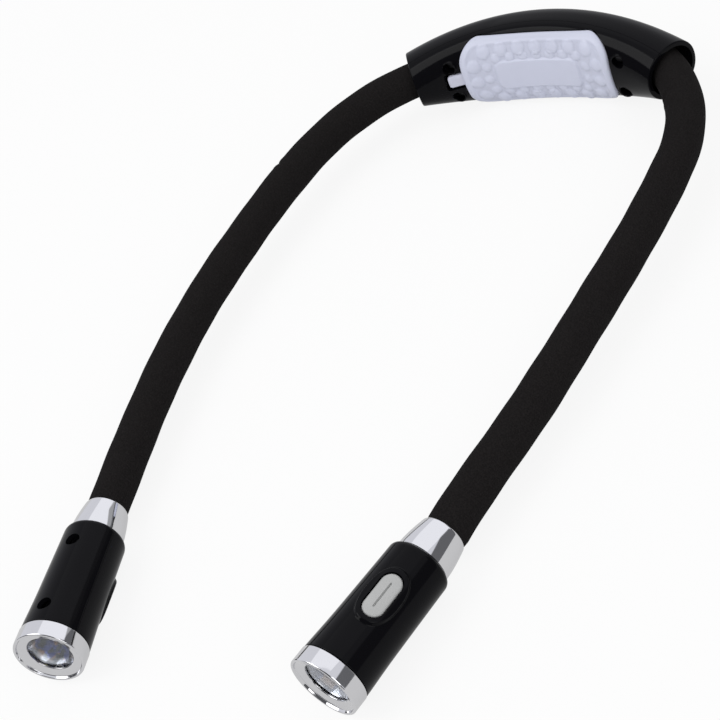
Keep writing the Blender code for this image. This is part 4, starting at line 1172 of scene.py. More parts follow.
    def door_grid(self, rings: int, count: int, rounding: float) -> tuple[Grid, Grid, Grid]:
        """Rings that shrink from the door's outline to its middle.

        Args:
            rings: Number of rings inside the rim.
            count: Number of points on each.
            rounding: Rounding of the rim, over which five more rings lie.

        Returns:
            Places along and across the door, and distances in from its outline.
        """
        outline = rounded_rectangle(self.door_width, self.door_height, self.door_corner, count)
        near, _ = rim_offsets(rounding)
        shares = np.concatenate([1 - near / (self.door_height / 2), np.linspace(0.95, 0, rings)])
        grid = shares[:, None, None] * outline[None]
        x, z = grid[..., 0], grid[..., 1]
        return x, z, inset_depth(x, z, self.door_width, self.door_height, self.door_corner)

    def door(self, wardrobe: Wardrobe) -> None:
        """The door under the pad, with its latch tab in the recess.

        Args:
            wardrobe: Dresses the piece.
        """
        x, z, _ = self.door_grid(24, 160, self.door_rounding)
        z = z + self.door_lift
        top = self.arch.neck_face(x, z, -self.door_under)
        plate = Solid.sheet(top, self.arch.neck_face(x, z, -self.wall), True)
        length, rounding = self.tab_length + self.tab_root, self.tab_rounding
        outline = rounded_rectangle(length, self.tab_width, self.tab_corner, 80)
        shares = np.concatenate([1 - rim_offsets(rounding)[0] / (self.tab_width / 2), np.linspace(0.6, 0, 8)])
        grid = shares[:, None, None] * outline[None]
        depth = inset_depth(grid[..., 0], grid[..., 1], length, self.tab_width, self.tab_corner)
        rise = rim_round(depth, rounding)
        rib, pace = self.tab_grip
        grip = rib * np.cos(grid[..., 0] * pace) * smooth_step(depth / self.tab_corner)
        upper, lower = self.tab_faces
        tab_x = grid[..., 0] - (self.door_width + self.tab_length - self.tab_root) / 2
        tab_z = grid[..., 1] + self.tab_rise
        top = self.arch.neck_face(tab_x, tab_z, rise + grip + upper)
        tab = Solid.sheet(top, self.arch.neck_face(tab_x, tab_z, lower), True)
        wardrobe.dress((plate + tab).piece("door_plate"), "door", "battery_door", ["battery_door"])

    def pad_lift(self, x: Grid, z: Grid, depth: Grid) -> Grid:
        """Height of the pad: a rounded band, a shallow bed inside it, domed bumps and a flat panel.

        Args:
            x: Places along the door.
            z: Places across it.
            depth: Distances in from its outline.

        Returns:
            Heights over the housing's skin.
        """
        edge = rim_round(depth, self.pad_rounding) - self.pad_rounding
        height, spread = self.band_ridge
        ridge = height * np.exp(-(((depth - self.pad_band) / spread) ** 2))
        drop, slope = self.band_drop
        lift = self.pad_thickness + edge + ridge - drop * smooth_step((depth - self.pad_band) / slope)
        for width, height, corner, size, rise, count in self.bump_rings:
            places = rounded_rectangle(width, height, corner, count)
            away = np.hypot(x[..., None] - places[:, 0], z[..., None] - places[:, 1]).min(axis=-1) / (size / 2)
            lift = lift + rise * np.clip(1 - away**2, 0, 1) ** self.dome_power
        width, height, corner = self.panel
        panel = inset_depth(x, z, width, height, corner)
        raised = self.pad_thickness + self.panel_rise * smooth_step(panel / self.panel_slope + self.panel_share)
        return np.where(panel > -self.panel_foot, np.maximum(lift * (panel < 0), raised), lift)

    def pad(self, wardrobe: Wardrobe) -> None:
        """The soft pad with its rings of bumps.

        Args:
            wardrobe: Dresses the piece.
        """
        x, z, depth = self.door_grid(104, 400, self.pad_rounding)
        lift = self.pad_lift(x, z, depth)
        top = self.arch.neck_face(x, z + self.door_lift, lift)
        under = self.arch.neck_face(x, z + self.door_lift, self.pad_under)
        item = Solid.sheet(top, under, True).piece("bumped_pad", PAD_CREASE)
        # the height over the skin, which sets the pad's painted shade between its bumps
        store_rise(item, np.clip(self.arch.field(mesh_points(item)) / self.dome_top, 0, 1))
        wardrobe.dress(item, "pad", "battery_door", ["neck_pad"])

    def build(self, wardrobe: Wardrobe) -> None:
        """All of the housing's new pieces.

        Args:
            wardrobe: Dresses the pieces.
        """
        self.shell_pieces(wardrobe)
        self.door(wardrobe)
        self.pad(wardrobe)


# Arms


# (radius, height from the root joint, rounding) of the anchor's corners
ANCHOR_SECTION = [
    (0.0020, -0.0094, 0.0002),
    (0.0066, -0.0094, 0.0003),
    (0.0066, -0.0079, 0.0003),
    (0.0040, -0.0079, 0.0006),
    (0.0040, 0.0030, 0.0006),
    (0.0020, 0.0030, 0.0002),
]


@dataclass(frozen=True)
class Arm:
    """One foam arm: a smooth curve through its hinges in a tilted plane, as it lies on the table.

    Attributes:
        side: Which arm.
        headings: Direction at each hinge within the arm's plane, in degrees from +X.
        length: Length from root joint to head joint.
        tilt: Sine of the plane's fall toward -Y.
        creases: (share of the length, side of the arm in degrees, depth) of small folds in the foam.
        waves: Height and pace along the arm of each wave of the foam.
        crease_half: Half width of a fold along the arm, and around it in radians.
        crease_skew: How far a fold wanders along the arm.
        crease_lip: Height of the lip at either side of a fold, and its distance in half widths.
        past: How far the line runs on beyond the end joints.
        foam_ends: Where the foam starts from the root joint, and where it ends from the head joint.
        end_draw: How much the foam draws in at the head, and over what length.
        bends: Stretch before and after each joint; not used.
        stretches: Names of the stretches of foam, one per joint.
    """

    side: Side
    headings: tuple[float, ...]
    length: float
    tilt: float
    creases: tuple[tuple[float, float, float], ...]
    radius: float = 0.0075
    bore: float = 0.0062
    around: int = 72
    step: float = 0.0008
    waves: tuple[tuple[float, float], ...] = ((0.00006, 310), (0.00005, 127))
    crease_half: tuple[float, float] = (0.0010, 0.8)
    crease_skew: float = 0.0008
    crease_lip: tuple[float, float] = (0.35, 2.2)
    past: float = 0.012
    foam_ends: tuple[float, float] = (-0.006, 0.0048)
    end_draw: tuple[float, float] = (0.0005, 0.004)
    bends: tuple[tuple[float, float], ...] = (
        (-0.004, 0.020),
        (-0.022, 0.022),
        (-0.022, 0.022),
        (-0.022, 0.022),
        (-0.012, 0.0035),
    )
    stretches: tuple[str, ...] = ("root", "near", "middle", "far", "end")

    def centre_line(self, places: list[Grid]) -> Grid:
        """Cubic curves from joint to joint: each end has the joint's place and heading, at an even pace.

        Args:
            places: The five hinges, from root to head.

        Returns:
            Points from the root joint to the head joint, about a step apart.
        """
        level = math.sqrt(1 - self.tilt**2)
        heading = np.radians(self.headings)
        ahead = np.stack([np.cos(heading), np.sin(heading) * level, np.sin(heading) * self.tilt], axis=-1)
        ahead *= self.length / (len(places) - 1)
        s = np.linspace(0, 1, round(self.length / (len(places) - 1) / self.step))[:, None]
        stretches = []
        for first, last, leave, reach in zip(places[:-1], places[1:], ahead[:-1], ahead[1:]):
            ends = (2 * s**3 - 3 * s**2 + 1) * first + (3 * s**2 - 2 * s**3) * last
            stretches.append(ends + (s**3 - 2 * s**2 + s) * leave + (s**3 - s**2) * reach)
        return np.concatenate([stretches[0]] + [stretch[1:] for stretch in stretches[1:]])

    def skin_radius(self, run: Grid, angle: Grid) -> Grid:
        """Radius over the sleeve: two sine waves, less a Gaussian dip with raised lips at each crease.

        Args:
            run: Distances from the root joint.
            angle: Angles round the sleeve.

        Returns:
            A radius for each pair.
        """
        (high, pace), (low, slow_pace) = self.waves
        wave = high * np.sin(run * pace + 2 * np.sin(angle)) + low * np.sin(run * slow_pace + angle * 2)
        found = self.radius + wave
        half_run, half_turn = self.crease_half
        lip, lip_place = self.crease_lip
        for share, middle, depth in self.creases:
            away = (run - share * self.length - self.crease_skew * np.sin(2 * angle)) / half_run
            turn = (angle - math.radians(middle) + math.pi) % (2 * math.pi) - math.pi
            fold = np.exp(-(away**2)) - lip * np.exp(-((np.abs(away) - lip_place) ** 2))
            found = found - depth * fold * np.exp(-((turn / half_turn) ** 2))
        return found

    def sleeve(self, line: Grid, run: Grid, first: float, last: float, drawn: bool) -> Solid:
        """A stretch of foam tube: circles across the line, outside forward and inside back.

        Args:
            line: Points of the centre line, with the stretches before and past the joints.
            run: Distance of each from the root joint.
            first: Distance at which the stretch starts.
            last: Distance at which it ends.
            drawn: Whether the skin draws in at the last end.

        Returns:
            The solid.
        """
        at = np.linspace(first, last, max(round((last - first) / self.step), 8))
        centre = along_line(at, run, line)
        along = along_line(at + self.step, run, line) - along_line(at - self.step, run, line)
        along /= np.linalg.norm(along, axis=1, keepdims=True)
        up = np.array([0.0, -self.tilt, math.sqrt(1 - self.tilt**2)])
        aside = np.cross(up, along)
        aside /= np.linalg.norm(aside, axis=1, keepdims=True)
        over = np.cross(along, aside)
        angle = np.linspace(0, 2 * math.pi, self.around, endpoint=False)
        spoke = np.cos(angle)[None, :, None] * aside[:, None] + np.sin(angle)[None, :, None] * over[:, None]
        draw, length = self.end_draw
        draw_in = draw * smooth_step(1 - (last - at) / length) * drawn
        skin = self.skin_radius(at[:, None], angle[None, :]) - draw_in[:, None]
        outer = centre[:, None] + spoke * skin[..., None]
        inner = centre[:, None] + spoke * self.bore
        return Solid.sheet(outer, inner, True)

    def build(self, wardrobe: Wardrobe, joints: dict[str, Grid]) -> None:
        """Five stretches of foam, each spanning one joint, and the anchor inside the mouth.

        Args:
            wardrobe: Dresses the pieces.
            joints: Place of each hinge, by name.
        """
        side = self.side.value
        body_line = self.centre_line([joints[f"{side}_{name}"] for name in HINGES])
        hops = np.linalg.norm(np.diff(body_line, axis=0), axis=1)
        body_run = np.concatenate([[0], np.cumsum(hops)])
        total, past = body_run[-1], self.past
        back, onward = body_line[0] - body_line[1], body_line[-1] - body_line[-2]
        back, onward = back / np.linalg.norm(back) * past, onward / np.linalg.norm(onward) * past
        line = np.concatenate([[body_line[0] + back], body_line, [body_line[-1] + onward]])
        run = np.concatenate([[-past], body_run, [total + past]])
        segments = len(self.stretches) - 1
        hop = total / segments
        start, end = self.foam_ends
        cuts = [start] + [hop * (number + 0.5) for number in range(segments)] + [total + end]
        for number, label in enumerate(self.stretches):
            solid = self.sleeve(line, run, cuts[number], cuts[number + 1], number == segments)
            item = solid.piece(f"{side}_foam_{label}", FOAM_CREASE)
            kept = [node for node in (number, number + 1) if 1 <= node <= segments]
            wardrobe.dress(item, "foam", None, [f"{side}_foam_sleeve_{node}" for node in kept])
            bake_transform(item)
        self.anchor(wardrobe, line[0], line[1])

    def anchor(self, wardrobe: Wardrobe, inside: Grid, root: Grid) -> None:
        """The flanged stub that carries the core, out of sight in the mouth.

        Args:
            wardrobe: Dresses the piece.
            inside: A point of the arm's line inside the housing.
            root: The root joint.
        """
        frame = frame_of(root, root - inside, np.array([0.0, 0.0, 1.0]))
        item = lathe(eased(ANCHOR_SECTION), 64).placed(frame).piece(f"{self.side.value}_anchor_stub")
        wardrobe.dress(item, "core", "housing", [f"{self.side.value}_arm_anchor"])


# Torch heads


@dataclass(frozen=True)
class Head:
    """One torch head, in its own frame: Z forward from the tilt joint, X toward the button.

    Attributes:
        side: Which arm carries it.
        forward: Direction of its axis.
        button_way: Direction that the button faces.
        collar_radii: Radius of the collar where its flare starts, and at the barrel.
        collar_flange: Radius and thickness of the flange that the barrel's halves hold.
        collar_lip: (radius, height over the rim) of the points round the rim's edge.
        collar_back: (radius, place along the axis) of the points inside the collar.
        flare_span: Shares of the collar's length between which its flare is drawn.
        barrel_start: Where the barrel starts, with a rounded shoulder.
        barrel_stations: Where its taper starts, its waist and its front end, each with a radius in barrel_radii.
        waist_ease: Length either way over which the bend at the waist is eased.
        shoulder: Drop of the quarter round at the barrel's start, and its length.
        mean_radius: Radius at which distances round the barrel count.
        edge_depth: Deepest fall of a rounded edge of the halves.
        skin_spare: How far the inside may stand over the least radius less the wall.
        surround: Length, width and outer radius of the raised oval.
        surround_power: The oval's superellipse power; 2 is an ellipse.
        surround_edge: Measure at which the oval starts, and the share over which it rises.
        groove: Depth of the button's middle line, its half width and the width of its side.
        window: Heights from the axis between which the button's window is cut.
        bezel_mouth: Radius at the small end of the bezel's cone.
        bezel_bore: Radius of the bezel's inside, behind its lip.
        bezel_steps: Width of the front rim, place and depth of the step inside it, and depth of the cone.
        bezel_skirt: How far the bezel runs back inside the barrel, and its wall there.
        lens_setback: Depth of the lens's face behind the front.
        bowl_depth: Depth of the reflector's bowl.
        bowl_apex: Radius of the bowl's floor.
        led_steps: Height of the diode's base, and of its dome over that.
    """

    side: Side
    forward: tuple[float, float, float]
    button_way: tuple[float, float, float]
    collar_rim: float = 0.00363
    collar_end: float = 0.0162
    collar_radii: tuple[float, float] = (0.0080, 0.00956)
    collar_flange: tuple[float, float] = (0.0070, 0.0022)
    collar_bore: float = 0.0062
    collar_lip: tuple[tuple[float, float], ...] = (
        (0.00720, 0.0003),
        (0.00732, 0),
        (0.00780, 0),
        (0.00798, 0.0002),
    )
    collar_back: tuple[tuple[float, float], ...] = ((0.0062, 0.0090), (0.0072, 0.0070))
    flare_span: tuple[float, float] = (0.04, 0.985)
    barrel_start: float = 0.0165
    barrel_stations: tuple[float, float, float] = (0.0185, 0.0502, 0.0618)
    barrel_radii: tuple[float, float, float] = (0.0111, 0.01163, 0.0122)
    barrel_steps: tuple[int, int] = (188, 158)
    waist_ease: float = 0.006
    shoulder: tuple[float, float] = (0.0012, 0.002)
    wall: float = 0.0016
    rim: float = 0.0003
    mean_radius: float = 0.0115
    edge_depth: float = 0.0004
    skin_spare: float = 0.0001
    button_station: float = 0.0372
    button_size: tuple[float, float] = (0.0165, 0.0074)
    button_radius: float = 0.01215
    button_rounding: float = 0.0007
    button_foot: float = 0.0078
    button_gap: float = 0.0003
    groove: tuple[float, float, float] = (0.0007, 0.00014, 0.00024)
    window: tuple[float, float] = (0.004, 0.02)
    surround: tuple[float, float, float] = (0.0218, 0.0126, 0.01235)
    surround_power: float = 2.35
    surround_edge: tuple[float, float] = (1.03, 0.13)
    parting: float = 0.00003
    parting_edge: float = 0.00008
    bezel_end: float = 0.0681
    bezel_radius: float = 0.0123
    bezel_mouth: float = 0.0080
    bezel_bore: float = 0.0093
    bezel_steps: tuple[float, float, float, float] = (0.0009, 0.0012, 0.0009, 0.0017)
    bezel_gap: float = 0.0003
    bezel_lip: float = 0.0007
    bezel_skirt: tuple[float, float] = (0.0028, 0.0008)
    optic_gap: float = 0.0003
    lens_setback: float = 0.0025
    lens_thickness: float = 0.0011
    bowl_depth: float = 0.0048
    bowl_apex: float = 0.0026
    bowl_wall: float = 0.0006
    led_radius: float = 0.0021
    led_steps: tuple[float, float] = (0.0006, 0.0012)
    screw_side: float = 0.0039
    screw_stations: tuple[float, float] = (0.0260, 0.0546)
    screw_hole: float = 0.0025
    screw_seat: float = -0.0064
    bore_end: float = -0.0053
    bore_start: float = -0.016
    bore_wall: float = 0.0005
    bore_lip: float = 0.0001
    bore_sides: int = 40
    shank_hole: float = 0.0011

    def barrel_radius(self, station: Grid) -> Grid:
        """Radius along the barrel: the mean of nine places about each, which eases the bend at its waist.

        Args:
            station: Places along the axis.

        Returns:
            A radius for each.
        """
        spread = np.linspace(-self.waist_ease, self.waist_ease, 9)
        found = [np.interp(station + way, self.barrel_stations, self.barrel_radii) for way in spread]
        return np.mean(found, axis=0)

    def skin(self, angle: Grid, station: Grid) -> Grid:
        """Radius over the barrel: less the shoulder's quarter round, and out to the oval about the button.

        Args:
            angle: Angles round the axis, from the button.
            station: Places along the axis.

        Returns:
            A radius for each pair.
        """
        radius = self.barrel_radius(station)
        drop, run = self.shoulder
        near = np.clip((station - self.barrel_start) / run, 0, 1)
        radius = radius - drop * (1 - np.sqrt(1 - (1 - near) ** 2))
        length, width, top = self.surround
        along = np.abs(station - self.button_station) / (length / 2)
        aside = np.abs(radius * np.sin(angle)) / (width / 2)
        power = self.surround_power
        measure = (along**power + aside**power) ** (1 / power)
        start, share = self.surround_edge
        rise = smooth_step((start - measure) / share) * (np.cos(angle) > 0)
        return radius + np.maximum(top - radius, 0) * rise

    def field(self, points: Grid) -> Grid:
        """Signed height of points over the barrel's skin, in the head's frame."""
        x, y, z = points[..., 0], points[..., 1], points[..., 2]
        return np.hypot(x, y) - self.skin(np.arctan2(y, x), z)

    def half_barrel(self, front: bool) -> Solid:
        """Half of the barrel's wall: rows along the axis, columns round from seam to seam.

        Args:
            front: Whether it is the half with the button.

        Returns:
            The solid.
        """
        rows, columns = self.barrel_steps
        near, fall = rim_offsets(self.rim)
        length = self.barrel_stations[2] - self.barrel_start
        middle = np.linspace(self.rim, length - self.rim, rows + 2)[1:-1]
        station = self.barrel_start + np.concatenate([near * 0.2, middle, length - near[::-1]])
        row_fall = np.concatenate([0 * fall, 0 * middle, fall[::-1]])
        edge_near, edge_fall = rim_offsets(self.parting_edge)
        seam = math.asin(self.parting / self.mean_radius)
        edge = edge_near / self.mean_radius
        last = math.pi - 2 * seam
        inner = np.linspace(edge[-1], last - edge[-1], columns + 2)[1:-1]
        start = seam + (-math.pi / 2 if front else math.pi / 2)
        angle = start + np.concatenate([edge, inner, last - edge[::-1]])
        column_fall = np.concatenate([edge_fall, 0 * inner, edge_fall[::-1]])
        offset = np.maximum(row_fall[:, None] + column_fall[None, :], -self.edge_depth)
        radius = self.skin(angle[None, :], station[:, None]) + offset
        least = radius.min(axis=1) + self.skin_spare
        inside = np.minimum(self.barrel_radius(station), least)[:, None] - self.wall
        outer = turned(radius, angle, station[:, None])
        return Solid.sheet(outer, turned(inside, angle, station[:, None]))

    def button_outline(self, growth: float, count: int) -> Grid:
        """The button's stadium, as (station from its middle, sideways)."""
        length, width = self.button_size
        return rounded_rectangle(length + 2 * growth, width + 2 * growth, width / 2 + growth - MERGE, count)

    def side_frame(self, side: float, station: float) -> Grid:
        """Frame whose Z is the head's X: its X runs along the axis and its Y sideways."""
        columns = [(0, 0, 1, 0), (0, 1, 0, 0), (1, 0, 0, 0), (0, side, station, 1)]
        return np.array(columns, float).T

    def button(self) -> Solid:
        """The button: rings in from its stadium; its height is a circle's, less a rounded rim and a groove.

        Returns:
            The solid.
        """
        length, width = self.button_size
        half, rounding = width / 2, self.button_rounding
        depth = np.concatenate([rim_offsets(rounding)[0], np.linspace(rounding, half, 34)[1:]])
        outline = self.button_outline(0.0, 144)
        spine = np.clip(outline[:, 0], -(length - width) / 2, (length - width) / 2)
        middle = np.stack([spine, np.zeros(len(spine))], axis=-1)
        share = (1 - depth / half)[:, None, None]
        grid = middle + (outline - middle) * share
        crown = np.sqrt(self.button_radius**2 - grid[..., 1] ** 2)
        low, reach, side = self.groove
        groove = low * (1 - smooth_step((half - depth - reach) / side))
        top = crown + (rim_round(depth, rounding) - rounding - groove)[:, None]
        outer = np.stack([top, grid[..., 1], grid[..., 0] + self.button_station], axis=-1)
        inner = outer.copy()
        inner[..., 0] = self.button_foot
        return Solid.sheet(outer, inner, True)

    def collar(self) -> Solid:
        """The flared chrome collar: its radius follows a quarter sine from rim to barrel.

        Returns:
            The solid.
        """
        rim, end = self.collar_rim, self.collar_end
        small, large = self.collar_radii
        flange, thickness = self.collar_flange
        stop = end + thickness
        share = np.linspace(*self.flare_span, 40)
        flare = small + (large - small) * np.sin(share * math.pi / 2)
        bell = np.stack([flare, rim + (end - rim) * share], axis=-1)
        lip = [(radius, rim + height) for radius, height in self.collar_lip]
        back = [(flare[-1] - 0.0002, end), (flange, end), (flange, stop), (self.collar_bore, stop)]
        return lathe(np.concatenate([lip, bell, back, self.collar_back]), 160)

    def bezel(self) -> Solid:
        """The chrome front ring: a thin rim, a step down inside it, an inward cone and the lens lip.

        Returns:
            The solid.
        """
        end, base = self.bezel_end, self.barrel_stations[2] + self.bezel_gap
        rim, step, step_depth, cone = self.bezel_steps
        back, bore = end - cone - self.bezel_lip, self.bezel_bore
        skirt, wall = self.bezel_skirt
        corners = [
            (self.bezel_radius, base, 0.0002),
            (self.bezel_radius, end, 0.0006),
            (self.bezel_radius - rim, end, 0.0002),
            (self.bezel_radius - step, end - step_depth, 0.0002),
            (self.bezel_mouth, end - cone, 0.0003),
            (self.bezel_mouth, back, 0.0001),
            (bore, back, 0.0001),
            (bore, base - skirt, 0.0002),
            (bore + wall, base - skirt, 0.0002),
            (bore + wall, base, 0.0001),
        ]
        return lathe(eased(corners, 7), 160)

    def optics(self) -> dict[str, Solid]:
        """Lens, bowl reflector and diode, one behind the other; the bowl's height is a parabola.

        Returns:
            The solids, by name.
        """
        front = self.bezel_end - self.lens_setback
        back = front - self.lens_thickness
        edge, ease = self.bezel_bore - self.optic_gap, 0.0002
        lens = lathe(eased([(0, back, 0), (edge, back, ease), (edge, front, ease), (0, front, 0)]), 96)
        rim, apex, wall = back - self.optic_gap, self.bowl_apex, self.bowl_wall
        base = rim - self.bowl_depth
        share = np.linspace(0, 1, 40)
        bowl = np.stack([apex + (edge - wall - apex) * share, base + self.bowl_depth * share**2], axis=-1)
        shell = bowl + (wall, 0)
        shell[-1] = (edge, rim)
        shell[-2] = (edge, rim - wall)
        reflector = lathe(np.concatenate([bowl, shell[::-1]]), 160)
        angle, size = np.linspace(math.pi / 2, 0, 16), self.led_radius
        foot, height = self.led_steps
        dome = np.stack([size * np.sin(angle), base + foot + height * np.cos(angle)], axis=-1)
        led = lathe(np.concatenate([[(0, base), (size, base)], dome]), 64)
        return {"lens": lens, "reflector": reflector, "led": led}

    def screw_bore(self, station: float) -> tuple[Solid, Solid]:
        """The bore to cut for a head screw, and the lining that shows in it.

        Args:
            station: The screw's place along the axis.

        Returns:
            The cutter and the lining.
        """
        frame = self.side_frame(self.screw_side, station)
        hole, seat = self.screw_hole, self.screw_seat
        mouth = self.bore_lip - math.sqrt(self.barrel_radii[0] ** 2 - (self.screw_side + hole) ** 2)
        levels = (mouth, seat, self.bore_end)
        lining = bore_lining((hole, self.shank_hole), self.bore_wall, levels, self.bore_sides)
        return prism(circle(hole, self.bore_sides), frame, self.bore_start, seat), lining.placed(frame)

    def build(self, wardrobe: Wardrobe, joint: Grid) -> None:
        """Every piece of the head, placed on its joint.

        Args:
            wardrobe: Dresses the pieces.
            joint: Place of the head's tilt joint.
        """
        side, body = self.side.value, f"{self.side.value}_head"
        frame = frame_of(joint, np.array(self.forward), np.array(self.button_way))
        back = np.linalg.inv(frame)
        front_half = self.half_barrel(True).piece(f"{side}_barrel_front")
        outline = self.button_outline(self.button_gap, 120)
        carve(front_half, [prism(outline, self.side_frame(0, self.button_station), *self.window)])
        rear_half = self.half_barrel(False).piece(f"{side}_barrel_back")
        bores = [self.screw_bore(station) for station in self.screw_stations]
        carve(rear_half, [cutter for cutter, _ in bores])
        for item, node in ((front_half, "front"), (rear_half, "rear")):
            polish(item, self.field)
            item.data.transform(Matrix(frame.tolist()))
            wardrobe.dress(item, "shell", body, [f"{side}_head_{node}_shell"])
        for index, (_, lining) in enumerate(bores, start=1):
            wardrobe.dress(lining.placed(frame).piece(f"{side}_head_bore_{index}"), "shell", body, [])
        for name, solid in (("collar", self.collar()), ("bezel", self.bezel())):
            item = solid.placed(frame).piece(f"{side}_{name}_ring")
            wardrobe.dress(item, "chrome", body, [f"{side}_{name}"])
        finishes = {"lens": "lens", "reflector": "bowl", "led": "led"}
        for name, solid in self.optics().items():
            item = solid.placed(frame).piece(f"{side}_{name}_fine")
            if name != "lens":
                # the reflector's "rise" places its painted reflections and shadow; the diode's places its
                # phosphor disc
                local = mesh_points(item) @ back[:3, :3].T + back[:3, 3]
                reach = self.led_radius if name == "led" else self.bezel_bore
                store_rise(item, 1 - np.hypot(local[:, 0], local[:, 1]) / reach)
            wardrobe.dress(item, finishes[name], body, [f"{side}_{name}"])
        button = self.button().placed(frame).piece(f"{side}_push_button", BUTTON_CREASE)
        wardrobe.dress(button, "button", f"{side}_button", [f"{side}_button"])


# Studio


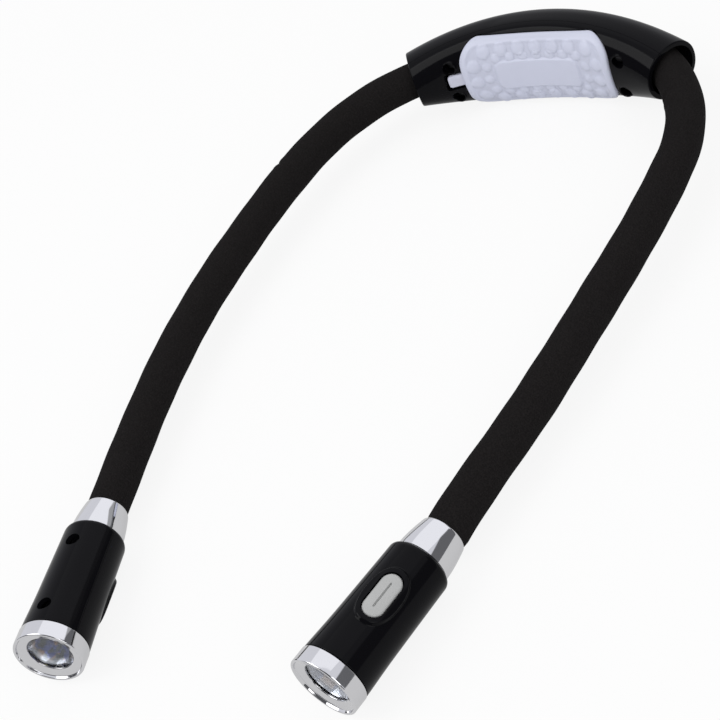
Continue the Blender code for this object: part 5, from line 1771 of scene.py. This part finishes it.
@dataclass(frozen=True)
class Studio:
    """White floor and surroundings, soft lamps, and the camera at the photograph's angle.

    Attributes:
        view: Direction in which the camera looks, with up above it in the picture.
        lens: The camera's focal length in millimetres.
        sensor: Width of the camera's picture plane in millimetres.
        nearest: Distance from which the camera sees.
        floor_glow: Share of the floor that glows white to the eye; the rest shows shadow.
        gloss_glow: Level of the floor as metal and gloss show it.
        gloss_share: Share of that glow in gloss.
        room_level: Level of the room as gloss shows it.
        flat_edge: Half width of a flat's soft edge, in degrees.
        flats: West and east bearing, low and high rise in degrees, and level of each patch of the room.
        room_light: Colour of the room as light.
        gloss_tint: Colour of the room in gloss at level 1.
        aim: The place that the lamps face.
        lamps: Name, place, size and watts of each softbox.
    """

    camera_place: tuple[float, float, float] = (0.2816, -0.5007, 0.4012)
    view: tuple[float, float, float] = (-0.50554, 0.56352, -0.65336)
    up: tuple[float, float, float] = (-0.05337, 0.73537, 0.67556)
    lens: float = 82.5
    sensor: float = 36.0
    nearest: float = 0.01
    floor_size: float = 12.0
    floor_glow: float = 0.88
    gloss_glow: float = 0.62
    gloss_share: float = 0.85
    room_level: float = 0.74
    flat_edge: float = 1.5
    flats: tuple[tuple[float, ...], ...] = (
        (0, 46, -15, 36, 0.14),
        (40, 78, -15, 20, 0.14),
        (-160, -15, -20, 75, 0.10),
    )
    room_light: Colour = (0.64, 0.64, 0.65)
    gloss_tint: Colour = (0.97, 0.98, 1.04)
    floor_colour: Colour = (0.82, 0.82, 0.82)
    lamps: tuple[tuple, ...] = (
        ("key", (-0.5, -0.5, 0.9), 0.7, 4.0),
        ("back", (0.1, 0.75, 0.85), 1.7, 2.2),
        ("fill", (0.8, -0.6, 0.6), 0.6, 2.0),
    )
    aim: tuple[float, float, float] = (0.0, -0.13, 0.0)

    def camera(self) -> None:
        """The camera: it looks along view, with up above it in the picture."""
        data = bpy.data.cameras.new("camera")
        data.lens = self.lens
        data.sensor_width = self.sensor
        data.clip_start = self.nearest
        camera = bpy.data.objects.new("camera", data)
        frame = frame_of(np.array(self.camera_place), -np.array(self.view), np.cross(self.view, self.up))
        camera.matrix_world = Matrix(frame.tolist())
        bpy.context.scene.collection.objects.link(camera)
        bpy.context.scene.camera = camera

    def floor(self) -> None:
        """A wide white floor that keeps a faint shadow."""
        half = self.floor_size / 2
        corners = [(-half, -half, 0), (half, -half, 0), (half, half, 0), (-half, half, 0)]
        mesh = bpy.data.meshes.new("floor")
        mesh.from_pydata(corners, [], [(0, 1, 2, 3)])
        floor = bpy.data.objects.new("floor", mesh)
        bpy.context.scene.collection.objects.link(floor)
        material = bpy.data.materials.new("floor")
        material.use_nodes = True
        shade = Shade(material.node_tree)
        matt = shade.node("ShaderNodeBsdfDiffuse", {}, {"Color": opaque(self.floor_colour)})
        straight, glossy = shade.rays()
        colour = shade.mix(glossy, opaque(WHITE), opaque(WHITE, self.gloss_glow))
        glow = shade.node("ShaderNodeEmission", {}, {"Color": colour, "Strength": 1.0})
        share = shade.clamp(straight * self.floor_glow + glossy * self.gloss_share)
        both = shade.node("ShaderNodeMixShader", {}, {0: share, 1: matt, 2: glow})
        shade.node_output("ShaderNodeOutputMaterial", both)
        mesh.materials.append(material)

    def band(self, shade: Shade, value: Wire, low: float, high: float) -> Wire:
        """A window over one angle: the rise at its low edge times the lack of one at its high edge.

        Args:
            shade: The world under construction.
            value: The angle in degrees.
            low: Where the window starts.
            high: Where it ends.

        Returns:
            1 inside it and 0 outside, with soft edges.
        """
        edge = self.flat_edge
        return shade.ramp(value, low - edge, low + edge) * (1.0 - shade.ramp(value, high - edge, high + edge))

    def room(self, shade: Shade) -> Wire:
        """Brightness of the room in gloss: an even level, and flats that each cover a patch of directions.

        Args:
            shade: The world under construction.

        Returns:
            The level.
        """
        way = shade.node("ShaderNodeTexCoord", output="Generated")
        axes = [shade.node("ShaderNodeSeparateXYZ", {}, {0: way}, axis) for axis in "XYZ"]
        turn = axes[1].maths("ARCTAN2", axes[1], axes[0]) * math.degrees(1)
        rise = axes[2].maths("ARCSINE", axes[2], 0.0) * math.degrees(1)
        level = self.room_level
        for west, east, low, high, shine in self.flats:
            patch = self.band(shade, turn, west, east) * self.band(shade, rise, low, high)
            level = level * (1.0 - patch) + patch * shine
        return level

    def world(self) -> None:
        """Surroundings: white to the eye, a room with darker and lighter flats in gloss, dimmer as light."""
        world = bpy.data.worlds.new("studio")
        bpy.context.scene.world = world
        world.use_nodes = True
        shade = Shade(world.node_tree)
        straight, glossy = shade.rays()
        gloss = shade.mix(self.room(shade), opaque(BLACK), opaque(self.gloss_tint))
        level = shade.mix(glossy, opaque(self.room_light), gloss)
        white = shade.mix(shade.clamp(straight), level, opaque(WHITE))
        shade.node_output("ShaderNodeOutputWorld", shade.node("ShaderNodeBackground", {}, {"Color": white}))

    def lamp(self, name: str, place: tuple, size: float, power: float) -> None:
        """A square softbox that faces the middle of the object.

        Args:
            name: Its name.
            place: Where it stands.
            size: Length of its side.
            power: Its watts.
        """
        data = bpy.data.lights.new(name, "AREA")
        data.shape = "SQUARE"
        data.size = size
        data.energy = power
        lamp = bpy.data.objects.new(name, data)
        toward = Vector(place) - Vector(self.aim)
        lamp.matrix_world = Matrix.Translation(place) @ toward.to_track_quat("Z", "Y").to_matrix().to_4x4()
        bpy.context.scene.collection.objects.link(lamp)

    def build(self) -> None:
        """Camera, floor, surroundings and lamps."""
        self.camera()
        self.floor()
        self.world()
        for name, place, size, power in self.lamps:
            self.lamp(name, place, size, power)
        bpy.context.scene.view_settings.view_transform = "Standard"


ARMS = (
    Arm(Side.LEFT, (208.9, 253.5, 263.7, 274.7, 279.4), 0.2436, 0.03492, ((0.30, 160, 0.0006),)),
    Arm(Side.RIGHT, (-49.0, -93.1, -99.9, -101.1, -99.1), 0.2280, 0.03629, ((0.10, 150, 0.0006),)),
)
HEADS = (
    Head(Side.LEFT, (0.23222, -0.97025, 0.06851), (0.40193, 0.03158, -0.91513)),
    Head(Side.RIGHT, (-0.23937, -0.96967, 0.04945), (0.3778, -0.0461, 0.92474)),
)


def main() -> None:
    """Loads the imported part, builds the pieces around it and sets the studio."""
    logging.basicConfig(level=logging.INFO, format="%(message)s")
    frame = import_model()
    joints = {joint["name"]: np.array(joint["pos_m"]) for joint in frame["joints"] if "pos_m" in joint}
    wardrobe = Wardrobe(frame["nodes"])
    Studio().build()
    Housing().build(wardrobe)
    for arm in ARMS:
        arm.build(wardrobe, joints)
    for head in HEADS:
        head.build(wardrobe, joints[f"{head.side.value}_head_tilt"])
    wardrobe.dress_nodes()


if __name__ == "__main__":
    main()
